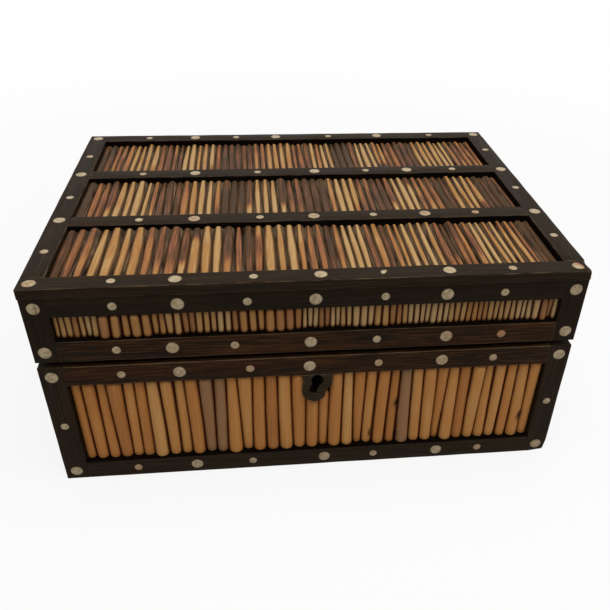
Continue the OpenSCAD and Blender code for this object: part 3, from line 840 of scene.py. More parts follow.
@dataclass
class QuillPanel:
    """Row of quills that fills one panel between the ebony bars."""

    node: str
    face: Face
    body: Body
    slot: str
    row: list[Bands]
    seed: int
    spots: tuple[Spot, ...] = ()
    steps: int = 4
    rings: int = 14
    cap_steps: int = 5
    start_cap: float = 0.3
    end_cap: float = 0.9
    least_share: float = 0.001
    taper: float = 0.06
    taper_shares: tuple[float, float] = (0.1, 1.0)
    thickest_parts: tuple[float, float] = (0.35, 0.6)
    fill: float = 0.35
    floor_drop: float = 0.04
    behind: tuple[tuple[float, float], ...] = (
        (0.98, -0.17),
        (0.64, -0.77),
        (0.0, -1.0),
        (-0.64, -0.77),
        (-0.98, -0.17),
    )
    point: float = 0.0
    foot_point: float = 0.3
    # Painted shade and grit: darker towards each quill's foot and over its rounded ends.
    dirt_mm: float = 2.4
    foot_shade_and_grit_start: float = 0.92
    cap_shade_and_grit: float = 1.5
    gap_mm: float = 0.04
    lean_mm: float = 0.5
    sway_mm: float = 0.18
    sway_length_mm: float = 45.0
    sway_width_mm: float = 25.0
    sway_shift: float = 3.1
    tone_spread: float = 0.05
    drift: float = 0.08
    drift_waves: float = 2.5
    band_part: float = 0.34
    band_fade: float = 0.16
    core: tuple[float, float] = (0.8, 1.25)

    @property
    def along(self) -> Axis:
        """The axis that the quills lie along."""
        return Axis.Y if self.face is Face.TOP else Axis.Z

    @property
    def across(self) -> int:
        """Index of the axis that the row runs along."""
        return self.face.length_axis.value

    def stations(self, length: float, radius: float) -> list[tuple[float, float]]:
        """Places along a quill where it gets a ring.

        Args:
            length: The quill's length.
            radius: Its radius.

        Returns:
            Distance from the start and share of the radius at each ring.
        """
        turns = [math.pi / 2 * k / self.cap_steps for k in range(self.cap_steps + 1)]
        start = self.start_cap * radius
        end = self.end_cap * radius
        first = [(start * (1 - math.cos(a)), math.sin(a)) for a in turns]
        last = [(length - end * (1 - math.cos(a)), math.sin(a)) for a in reversed(turns)]
        between = [(start + (length - start - end) * i / self.rings, 1.0) for i in range(1, self.rings)]
        return first + between + last

    def build(self, finish: Material) -> None:
        """Lofts every quill of the panel between its two seams.

        Args:
            finish: The quills' material.
        """
        draft = Draft()
        picker = random.Random(self.seed)
        solids = sorted(solids_of(self.node), key=lambda s: s.centre[self.across])
        seams = [(a.high[self.across] + b.low[self.across]) / 2 for a, b in zip(solids, solids[1:])]
        seams = [solids[0].low[self.across], *seams, solids[-1].high[self.across]]
        leans = [picker.uniform(-0.5, 0.5) * self.lean_mm * MM for _ in seams]
        leans[0] = leans[-1] = 0.0
        for number, solid in enumerate(solids):
            bands = self.row[number * len(self.row) // len(solids)]
            sides = [(seams[number], leans[number]), (seams[number + 1], leans[number + 1])]
            held = (number == 0, number == len(solids) - 1)
            self.loft(draft, solid, sides, held, bands, picker)
        draft.piece(f"natural_{self.node}", self.body, self.slot, self.node, finish)

    def seam_at(self, seam: tuple[float, float], held: bool, part: float, length: float) -> float:
        """Place of a seam between two quills at one part of its length.

        Args:
            seam: The seam's middle place and how far it leans.
            held: Whether a post or bar stands there, so that it is straight.
            part: The part of the length, from 0 to 1.
            length: The quills' length.

        Returns:
            The place along the row, in metres.
        """
        middle, lean = seam
        if held:
            return middle
        row_place = middle / MM / self.sway_width_mm
        at = Vector((row_place, part * length / MM / self.sway_length_mm, self.seed * self.sway_shift))
        return middle + lean * (2 * part - 1) + noise.noise(at) * self.sway_mm * MM

    def loft(
        self,
        draft: Draft,
        solid: Solid,
        sides: list[tuple[float, float]],
        held: tuple[bool, bool],
        bands: Bands,
        picker: random.Random,
    ) -> None:
        """Lofts one quill on the bed that its solid lies on.

        Args:
            draft: The mesh that it is added to.
            solid: The box of its solid.
            sides: The seams to its left and right.
            held: Whether each seam is the end of the row.
            bands: Its colours.
            picker: Source of its small differences.
        """
        outward = self.face.outward
        direction = self.along.direction
        side = direction.cross(outward)
        length = solid.size[self.along.value]
        radius = solid.size[self.across] / 2
        start = solid.low[self.along.value]
        bed = solid.centre.dot(outward) - radius
        mark = picker.uniform(0, 40)
        swell = picker.uniform(*self.taper_shares) * self.taper
        thickest = picker.uniform(*self.thickest_parts)
        own_tone = bands.main.value + picker.uniform(-self.tone_spread, self.tone_spread)
        core = picker.uniform(*self.core)
        rings = []
        for distance, share in self.stations(length, radius):
            part = distance / length
            left, right = (self.seam_at(sides[i], held[i], part, length) for i in (0, 1))
            narrow = 1 - swell * ((part - thickest) / (1 - thickest)) ** 2
            half = (right - left) / 2 - self.gap_mm * MM / 2
            middle = direction * (start + distance) + outward * (bed + half)
            middle[self.across] = (left + right) / 2
            tone = self.tone_at(own_tone, bands, part, mark)
            sharpness = max(0.0, 2 * part - 1) ** 2 + self.foot_point * (1 - part) ** 4
            pointed = 1 + self.point * sharpness
            # Darker towards the quill's foot: painted shade, with grit.
            dirt = self.foot_shade_and_grit_start - distance / (self.dirt_mm * MM) / 2
            ring = []
            for sideways, out in self.section():
                in_seam = abs(sideways) >= 1
                wide = half * (1 if in_seam else narrow)
                grown = max(share, self.least_share)
                at = middle + (outward * out * half + side * sideways * wide) * grown
                # flank: painted shade where the round quill turns from the light, with old varnish; seams and
                # hidden back points take the seam colour.
                flank = 1.0 if in_seam or out < 0 else abs(sideways) * pointed / core
                marks = {
                    "tone": tone,
                    "flank": max(flank, min(1.0, self.cap_shade_and_grit * (1 - share)), dirt),
                    "spot": self.spot_at(at),
                }
                round_mm = math.asin(max(-1, min(1, sideways))) * radius / MM
                grain = Vector((distance / MM, round_mm, mark))
                ring.append(draft.point(at, marks, {"quill_mm": grain}))
            rings.append(ring)
        draft.join(rings)

    def section(self) -> list[tuple[float, float]]:
        """Outline across a quill, whose seams are filled with old varnish.

        Returns:
            Place along the row and outwards of each point, as shares of the radius.
        """
        reach = math.acos(self.fill)
        turns = [reach * k / self.steps for k in range(-self.steps, self.steps + 1)]
        front = [(math.sin(turn), math.cos(turn)) for turn in turns]
        floor = self.fill - self.floor_drop
        return [*front, (1.0, floor), *self.behind, (-1.0, floor)]

    def tone_at(self, own: float, bands: Bands, part: float, mark: float) -> float:
        """Tone of a quill at one part of its length.

        Args:
            own: The quill's main tone.
            bands: Its colours.
            part: The part of the length, from 0 to 1.
            mark: The quill's own number.

        Returns:
            The place on the palette.
        """
        tone = own + self.drift * noise.noise(Vector((mark, part * self.drift_waves, 0.5)))
        for end, away in ((bands.foot, part), (bands.tip, 1 - part)):
            if end is not None:
                tone += (end.value - own) * within((self.band_part - away) / self.band_fade)
        return tone

    def spot_at(self, at: Vector) -> float:
        """How strongly a stain covers a point, from 0 to 1."""
        covers = [spot.cover(at[self.across] / MM, at.z / MM) for spot in self.spots]
        return max(covers, default=0.0)


@dataclass(frozen=True)
class Wash:
    """How strongly a mark covers a peg's face: past a slanting line, along it, or round the middle.

    A place on the face is given as shares of the peg's radius, to the right and up.
    """

    most: float
    start: float = 1.0
    fade: float = 1.0
    across: float = 0.0
    up: float = 0.0
    away: float = 0.0
    along_line: bool = False

    def at(self, across: float, up: float) -> float:
        """Finds how strong the mark is at one place.

        Args:
            across: Place to the right of the peg's middle.
            up: Place above it.

        Returns:
            The strength, from 0 to the most.
        """
        past = self.start + self.across * across + self.up * up + self.away * math.hypot(across, up)
        if self.along_line:
            return max(0.0, self.most - abs(past) / self.fade)
        return max(0.0, min(self.most, past / self.fade))


@dataclass(frozen=True)
class Damage:
    """Stain and darkness of a damaged peg, and how deep its face and its middle are sunk."""

    stain: Wash = Wash(0.0)
    dark: Wash = Wash(0.0)
    sunk_mm: Wash = Wash(0.0)
    pit_mm: float = 0.0


class Blemish(Enum):
    """What time has done to a bone peg."""

    NONE = Damage()
    STAINED = Damage(stain=Wash(0.85))
    TINTED = Damage(stain=Wash(0.36))
    CORED = Damage(stain=Wash(0.45, start=0.8, fade=2 / 3, away=-1.0))
    CRACKED = Damage(dark=Wash(0.9, start=-0.3, fade=0.2, across=1.0, along_line=True))
    PITTED = Damage(pit_mm=1.6)
    CHIPPED = Damage(sunk_mm=Wash(0.5, start=-0.1, fade=0.5, across=0.8, up=-0.6))
    STREAKED = Damage(stain=Wash(0.9, start=0.0, fade=0.3, across=0.5, up=-1.0, along_line=True))
    KNOCKED = Damage(
        stain=Wash(0.95, start=0.15, fade=0.4, across=0.9, up=0.6),
        dark=Wash(0.9, start=-0.3, fade=0.2, across=0.9, up=0.5),
        sunk_mm=Wash(0.5, start=-0.2, fade=2.0, across=0.8, up=0.2),
    )
    LOST = Damage(stain=Wash(0.85), sunk_mm=Wash(0.5))


@dataclass
class PegSet:
    """Bone pegs of one size on one body."""

    node: str
    body: Body
    blemishes: dict[tuple[float, float, float], Blemish]
    seed: int = 7
    sides: int = 28
    shares: tuple[float, ...] = (0.1, 0.18, 0.36, 0.54, 0.7, 0.8, 0.87, 0.93, 1.0)
    dome_mm: float = 0.18
    dome_fall: float = 1.3
    proud_mm: float = 0.08
    wobble: float = 0.045
    rim_start: float = 0.86
    most_tint: float = 0.45
    pit_chance: float = 0.05
    pit_mm: float = 0.3
    pit_share: float = 0.15
    pit_stain: float = 0.9
    reach_mm: float = 6.0

    def outward(self, solid: Solid) -> Vector:
        """Finds the direction that a peg's face looks in.

        Args:
            solid: The box of the peg's solid.

        Returns:
            The unit vector.
        """
        thin = min(range(3), key=lambda i: solid.size[i])
        sign = 1.0 if solid.centre[thin] > 0 else -1.0
        return Vector([sign if i == thin else 0.0 for i in range(3)])

    def blemish_of(self, face_centre: Vector) -> Blemish:
        """Looks up what has happened to a peg.

        Args:
            face_centre: Middle of the peg's face, in metres.

        Returns:
            The blemish noted within a few millimetres, if any.
        """
        for place, blemish in self.blemishes.items():
            if (face_centre / MM - Vector(place)).length < self.reach_mm:
                return blemish
        return Blemish.NONE

    def build(self, finish: Material) -> None:
        """Turns every peg of the set.

        Args:
            finish: The pegs' material.
        """
        draft = Draft()
        picker = random.Random(self.seed)
        for solid in solids_of(self.node):
            self.turn(draft, solid, picker)
        draft.piece(f"bone_{self.node}", self.body, "bone", self.node, finish)

    def turn(self, draft: Draft, solid: Solid, picker: random.Random) -> None:
        """Makes one peg in the box of its solid.

        Args:
            draft: The mesh that it is added to.
            solid: The box of its solid.
            picker: Source of its small differences.
        """
        outward = self.outward(solid)
        depth = min(solid.size)
        radius = sorted(solid.size)[1] / 2
        up = Axis.Z.direction if abs(outward.z) < 0.5 else Axis.Y.direction
        side = up.cross(outward)
        face_centre = solid.centre + outward * depth / 2
        damage = self.blemish_of(face_centre).value
        mark = picker.uniform(0, 90)
        tint = picker.uniform(0, self.most_tint) ** 2
        pitted = damage.pit_mm > 0 or picker.random() < self.pit_chance
        pit_mm = max(damage.pit_mm, self.pit_mm) if pitted else 0.0

        def place(share: float, turn: float, height_mm: float, foot: bool = False) -> int:
            """Adds one point of the peg's face or foot.

            Args:
                share: Distance from the middle, as a share of the radius.
                turn: Direction, in radians from the right.
                height_mm: Height over the bar's face.
                foot: Whether it belongs to the foot, which no blemish reaches.

            Returns:
                The point's index.
            """
            wobble = 1 + self.wobble * noise.noise(Vector((math.cos(turn), math.sin(turn), mark)))
            u = math.cos(turn) * share * wobble
            v = math.sin(turn) * share * wobble
            lowered = height_mm - (0 if foot else damage.sunk_mm.at(u, v))
            at = face_centre + (side * u + up * v) * radius + outward * lowered * MM
            rim = (share - self.rim_start) / (1 - self.rim_start)
            pit_stain = self.pit_stain if pitted and share < self.pit_share else 0.0
            marks = {
                "edge": max(0.0, rim, damage.dark.at(u, v)),
                "stain": max(tint, damage.stain.at(u, v), pit_stain),
            }
            disc = Vector((u, v, 0)) * radius / MM + Vector((0, 0, mark))
            return draft.point(at, marks, {"disc_mm": disc})

        def ring(share: float, height_mm: float, foot: bool = False) -> list[int]:
            """Adds one ring of points round the peg."""
            turns = [2 * math.pi * i / self.sides for i in range(self.sides)]
            return [place(share, turn, height_mm, foot) for turn in turns]

        rings = [
            ring(share, self.proud_mm + self.dome_mm * (1 - self.dome_fall * share**3))
            for share in self.shares
        ]
        tip = place(0.0, 0.0, self.proud_mm + self.dome_mm - pit_mm)
        foot = ring(1.0, -depth / MM, foot=True)
        draft.join([*reversed(rings)])
        draft.join([foot, rings[-1]])
        draft.fan(rings[0], tip)
        bottom = place(0.0, 0.0, -depth / MM, foot=True)
        draft.fan(foot, bottom, flip=True)


BASE_BLEMISHES = {
    (67.0, -112.5, 6.0): Blemish.LOST,
    (-106.0, -112.5, 8.0): Blemish.TINTED,
    (106.3, -112.5, 6.0): Blemish.TINTED,
    (-34.9, -112.5, 78.0): Blemish.TINTED,
    (37.6, -112.5, 78.0): Blemish.TINTED,
}
LID_BLEMISHES = {
    (-144.3, -112.5, 121.0): Blemish.CRACKED,
    (-66.4, -36.2, 134.0): Blemish.CORED,
    (5.3, -36.2, 134.0): Blemish.CORED,
    (74.1, -36.4, 134.0): Blemish.CORED,
    (105.4, -36.3, 134.0): Blemish.TINTED,
    (105.7, -112.5, 94.5): Blemish.STAINED,
    (36.9, -106.5, 134.0): Blemish.CHIPPED,
    (-104.5, -106.5, 134.0): Blemish.PITTED,
    (-145.0, -106.5, 134.0): Blemish.STREAKED,
    (146.0, -106.7, 134.0): Blemish.KNOCKED,
}


@dataclass(frozen=True)
class Knock:
    """A place where an arris is worn far rounder than elsewhere."""

    at_mm: tuple[float, float, float]
    reach_mm: float
    extra_mm: float


WORN_LINES_MM = (0.0, 0.25, 0.6)
KNOCKED_LINES_MM = (*WORN_LINES_MM, 1.2, 1.9, 2.8)


@dataclass
class EbonyPiece:
    """One or more squared ebony bars with arrises worn round by hand, which stand for one node.

    Faces that don't look in a polished direction take a darker copy of the ebony: painted shade, with the
    grimy varnish of faces that nobody rubs.
    """

    node: str
    body: Body
    grain: Axis
    seed: int
    # Faces that keep the lit ebony; the others get the darker copy, which is painted shade.
    polished: tuple[Face, ...] = ()
    knocks: tuple[Knock, ...] = ()
    least_arris_mm: float = 0.25
    most_arris_mm: float = 0.6
    soft_wear: float = 0.5
    soft_swing: float = 0.9
    wear_mm: float = 14.0
    uneven_mm: float = 0.12
    uneven_length_mm: float = 22.0
    step_mm: float = 6.0
    least_core_mm: float = 0.4
    seed_step: int = 7
    wear_shift: float = 3.7
    uneven_shift: float = 7.4
    tree_shift_mm: tuple[float, float, float] = (211.0, 17.3, 5.1)

    def boxes(self) -> list[Solid]:
        """The squared bars that the piece is worn down from."""
        return solids_of(self.node)

    def build(self, finish: Material, shade_and_grime: Material) -> None:
        """Builds a worn bar for each box.

        Args:
            finish: The ebony.
            shade_and_grime: The same ebony, darker: painted shade on faces turned from the light, and grimy
                varnish where nobody rubs it.
        """
        draft = Draft()
        for number, box in enumerate(self.boxes()):
            self.wear_bar(draft, box, self.seed + self.seed_step * number)
        draft.piece(f"worn_{self.node}", self.body, "ebony", self.node, finish, shade_and_grime)

    def lattice(self, low: float, high: float) -> list[float]:
        """Places along one axis where a bar gets points, close together near the arrises.

        Args:
            low: Where the bar starts, in metres.
            high: Where it ends.

        Returns:
            The places in metres.
        """
        widest = (high - low - self.least_core_mm * MM) / 2
        lines = [line * MM for line in (KNOCKED_LINES_MM if self.knocks else WORN_LINES_MM)]
        lines = [line for line in lines if line < widest]
        inner = high - low - 2 * lines[-1]
        count = max(1, round(inner / (self.step_mm * MM)))
        inside = [low + lines[-1] + inner * i / count for i in range(1, count)]
        return [*(low + line for line in lines), *inside, *(high - line for line in reversed(lines))]

    def arris_at(self, at: Vector, seed: int) -> float:
        """Finds how round the wear is near a point.

        Args:
            at: The point.
            seed: The bar's own number.

        Returns:
            Radius of the worn arris, in metres.
        """
        wave = noise.noise(at / (self.wear_mm * MM) + Vector((seed * self.wear_shift, 0, 0)))
        spread = self.most_arris_mm - self.least_arris_mm
        arris = self.least_arris_mm + spread * within(self.soft_wear + self.soft_swing * wave)
        for knock in self.knocks:
            away = (at / MM - Vector(knock.at_mm)).length / knock.reach_mm
            arris += knock.extra_mm * max(0.0, 1 - away * away)
        return arris * MM

    def settle(self, at: Vector, box: Solid, seed: int) -> tuple[Vector, float]:
        """Moves a point of a squared bar to the worn surface.

        Args:
            at: A point on the box's surface.
            box: The squared bar.
            seed: The bar's own number.

        Returns:
            The point on the worn bar, and how worn it is from 0 to 1.
        """
        arris = self.arris_at(at, seed)
        inner = Vector([min(max(at[i], box.low[i] + arris), box.high[i] - arris) for i in range(3)])
        out = at - inner
        reach = out.length
        worn = (1 - max(abs(c) for c in out) / reach) / (1 - math.sqrt(0.5))
        shift = Vector((seed * self.uneven_shift, 0, 0))
        wave = noise.noise(at / (self.uneven_length_mm * MM) + shift)
        return inner + out / reach * (arris + wave * self.uneven_mm * MM), min(1.0, worn)

    def wear_bar(self, draft: Draft, box: Solid, seed: int) -> None:
        """Adds the surface of one worn bar to a draft.

        Args:
            draft: The mesh that it is added to.
            box: The squared bar.
            seed: The bar's own number, which also picks its place in the tree.
        """
        places = [self.lattice(box.low[axis.value], box.high[axis.value]) for axis in Axis]
        order = [self.grain, *[a for a in Axis if a is not self.grain]]
        tree_place = Vector([seed * shift for shift in self.tree_shift_mm])
        polished = [face.outward for face in self.polished]
        made: dict[tuple[int, ...], int] = {}

        def corner(index: tuple[int, ...]) -> int:
            """Makes the point at one crossing of the lattice when it is first asked for.

            Args:
                index: The crossing's number along each axis.

            Returns:
                The point's index.
            """
            if index not in made:
                square = Vector([places[i][index[i]] for i in range(3)])
                at, worn = self.settle(square, box, seed)
                grain_mm = Vector([square[a.value] / MM for a in order]) + tree_place
                # How far round the arris a point lies; the ebony paints it paler, as rubbed wood and painted
                # highlight.
                made[index] = draft.point(at, {"wear": worn}, {"grain_mm": grain_mm})
            return made[index]

        for normal in range(3):
            u, v = (normal + 1) % 3, (normal + 2) % 3
            for sign, end in ((-1, 0), (1, len(places[normal]) - 1)):
                looks = Vector([float(sign) if i == normal else 0.0 for i in range(3)])
                # Faces outside the polished directions take the darker copy: painted shade.
                finish = 1 if polished and looks not in polished else 0
                for i in range(len(places[u]) - 1):
                    for j in range(len(places[v]) - 1):
                        quad = []
                        for du, dv in ((0, 0), (1, 0), (1, 1), (0, 1)):
                            index = [0, 0, 0]
                            index[normal], index[u], index[v] = end, i + du, j + dv
                            quad.append(corner(tuple(index)))
                        draft.faces.append(tuple(quad if sign > 0 else reversed(quad)))
                        draft.finish_of_face.append(finish)


@dataclass
class TopStrip(EbonyPiece):
    """Strip round the top: a cap over the wall, and a tongue that fills the rebate behind the rail."""

    face: Face = Face.FRONT
    inset_mm: float = 0.05

    def boxes(self) -> list[Solid]:
        """The cap and the tongue.

        Returns:
            Their boxes.
        """
        whole = solids_of(self.node)[0]
        wall = solids_of(f"lid_top_rail_{self.face.name.lower()}")[0]
        axis = next(i for i in range(3) if self.face.value[i])
        cap_low = whole.low.copy()
        cap_low.z = wall.high.z
        low = whole.low.copy()
        high = whole.high.copy()
        high.z = (wall.high.z + whole.high.z) / 2
        if self.face.value[axis] < 0:
            low[axis] = wall.high[axis]
            high[axis] -= self.inset_mm * MM
        else:
            high[axis] = wall.low[axis]
            low[axis] += self.inset_mm * MM
        along = self.grain.value
        low[along] = max(low[along], wall.low[along])
        high[along] = min(high[along], wall.high[along])
        return [Solid(cap_low, whole.high), Solid(low, high)]


def reach_to(corners: list[tuple[float, float]], turn: float) -> float:
    """Distance from the middle of an outline to its edge.

    Args:
        corners: The outline's corners, as places to the right of the middle and above it.
        turn: Direction, in radians from the right.

    Returns:
        The distance to the farthest edge in that direction.
    """
    ahead = Vector((math.cos(turn), math.sin(turn)))
    far = 0.0
    for start, end in zip(corners, [*corners[1:], corners[0]]):
        first = Vector(start)
        edge = Vector(end) - first
        cross = ahead.cross(edge)
        if abs(cross) > 1e-9 and 0 <= first.cross(ahead) / cross <= 1:
            far = max(far, first.cross(edge) / cross)
    return far


@dataclass(frozen=True)
class Keyhole:
    """Keyhole's outline: a round hole, and a slot that hangs from its middle."""

    round_mm: float
    slot_mm: float
    slot_half_mm: float
    lean_deg: float = 0.0

    def reach(self, turn: float) -> float:
        """Finds how far the keyhole's edge lies from the round hole's middle.

        Args:
            turn: Direction, in radians from the right.

        Returns:
            The distance in millimetres.
        """
        half = self.slot_half_mm
        slot = [(-half, 1.0), (half, 1.0), (half, -self.slot_mm), (-half, -self.slot_mm)]
        return max(self.round_mm, reach_to(slot, turn + math.radians(self.lean_deg)))


@dataclass
class Shield:
    """Escutcheon sawn by hand, with one shoulder left and a keyhole that leans."""

    node: str = "escutcheon"
    outline: tuple[tuple[float, float], ...] = (
        (-1.0, 0.0),
        (-0.98, 0.16),
        (-0.88, 0.27),
        (-0.98, 0.41),
        (-1.0, 0.64),
        (-0.92, 0.8),
        (-0.65, 0.91),
        (-0.23, 1.0),
        (0.15, 0.97),
        (0.5, 0.83),
        (0.56, 0.62),
        (0.72, 0.51),
        (0.95, 0.4),
        (1.0, 0.0),
    )
    keyhole_drop_mm: float = 4.3
    keyhole: Keyhole = Keyhole(3.6, 9.2, 2.2, lean_deg=20.0)
    solid_keyhole: Keyhole = Keyhole(3.4, 10.0, 2.4)
    back_mm: float = 0.2
    arris_mm: float = 0.4
    turns: int = 90

    def build(self, finish: Material, dark: Material) -> None:
        """Saws the shield in the box of its solid.

        Args:
            finish: The shield's material.
            dark: The keyhole's walls and the shield's back, in the darker ebony: painted shade in the hole.
        """
        low, high = (Vector(corner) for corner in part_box(self.node))
        half = (high.x - low.x) / 2 / MM
        height = (high.z - low.z) / MM
        drop = self.keyhole_drop_mm
        corners = [(across * half, drop - down * height) for across, down in self.outline]
        middle = Vector(((low.x + high.x) / 2, 0.0, high.z - drop * MM))
        turns = [2 * math.pi * i / self.turns for i in range(self.turns)]
        turns = sorted([*turns, *(math.atan2(z, x) % (2 * math.pi) for x, z in corners)])
        edge = [reach_to(corners, turn) for turn in turns]
        leaning = [self.keyhole.reach(turn) for turn in turns]
        through = [min(reach, self.solid_keyhole.reach(turn)) for turn, reach in zip(turns, leaning)]
        draft = Draft()

        def ring(reaches: list[float], grow_mm: float, y: float, wear: float) -> list[int]:
            """Adds one ring of points at one depth.

            Args:
                reaches: Distance from the keyhole's middle in each direction.
                grow_mm: How much is added to it.
                y: The depth, in metres.
                wear: How worn it is; the finish paints it paler, as rubbed edge and painted highlight.

            Returns:
                The points' indices.
            """
            made = []
            for turn, reach in zip(turns, reaches):
                away = (reach + grow_mm) * MM
                at = Vector((middle.x + math.cos(turn) * away, y, middle.z + math.sin(turn) * away))
                made.append(draft.point(at, {"wear": wear}, {"grain_mm": at / MM}))
            return made

        arris = self.arris_mm
        arris_y = low.y + arris * MM
        shell = [
            ring(edge, 0.0, high.y, 0.0),
            ring(edge, 0.0, arris_y, 0.6),
            ring(edge, -arris, low.y, 0.4),
            ring(edge, -2 * arris, low.y, 0.0),
            ring(leaning, 2 * arris, low.y, 0.0),
            ring(leaning, arris, low.y, 0.2),
            ring(leaning, 0.0, arris_y, 0.0),
        ]
        back = ring(leaning, 0.0, high.y - self.back_mm * MM, 0.0)
        draft.join(shell)
        # The keyhole's walls and the shield's back take the darker ebony: painted shade.
        draft.join([shell[-1], back, ring(through, 0.0, high.y, 0.0), shell[0]], finish=1)
        draft.piece("horn_shield", Body.BASE, "ebony", self.node, finish, dark)


WELD_MM = 0.002
SHARP_DEG = 50
BOARD_EDGE_MM = 0.3
METAL_EDGE_MM = 0.12


def soften(node: str, width_mm: float, finish: Material) -> None:
    """Gives a carried-over solid its finish and a small bevel.

    Args:
        node: The node's name.
        width_mm: Width of the bevel.
        finish: Its material.
    """
    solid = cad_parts[node]
    solid.data.materials.clear()
    solid.data.materials.append(finish)
    weld = solid.modifiers.new("weld", "WELD")
    weld.merge_threshold = WELD_MM * MM
    bevel = solid.modifiers.new("bevel", "BEVEL")
    bevel.width = width_mm * MM
    bevel.segments = 2
    bevel.limit_method = "ANGLE"
    bevel.angle_limit = math.radians(SHARP_DEG)
    shading = solid.modifiers.new("shading", "WEIGHTED_NORMAL")
    shading.keep_sharp = False
    LOG.info("%s: solid kept, edges softened by %.2f mm", node, width_mm)


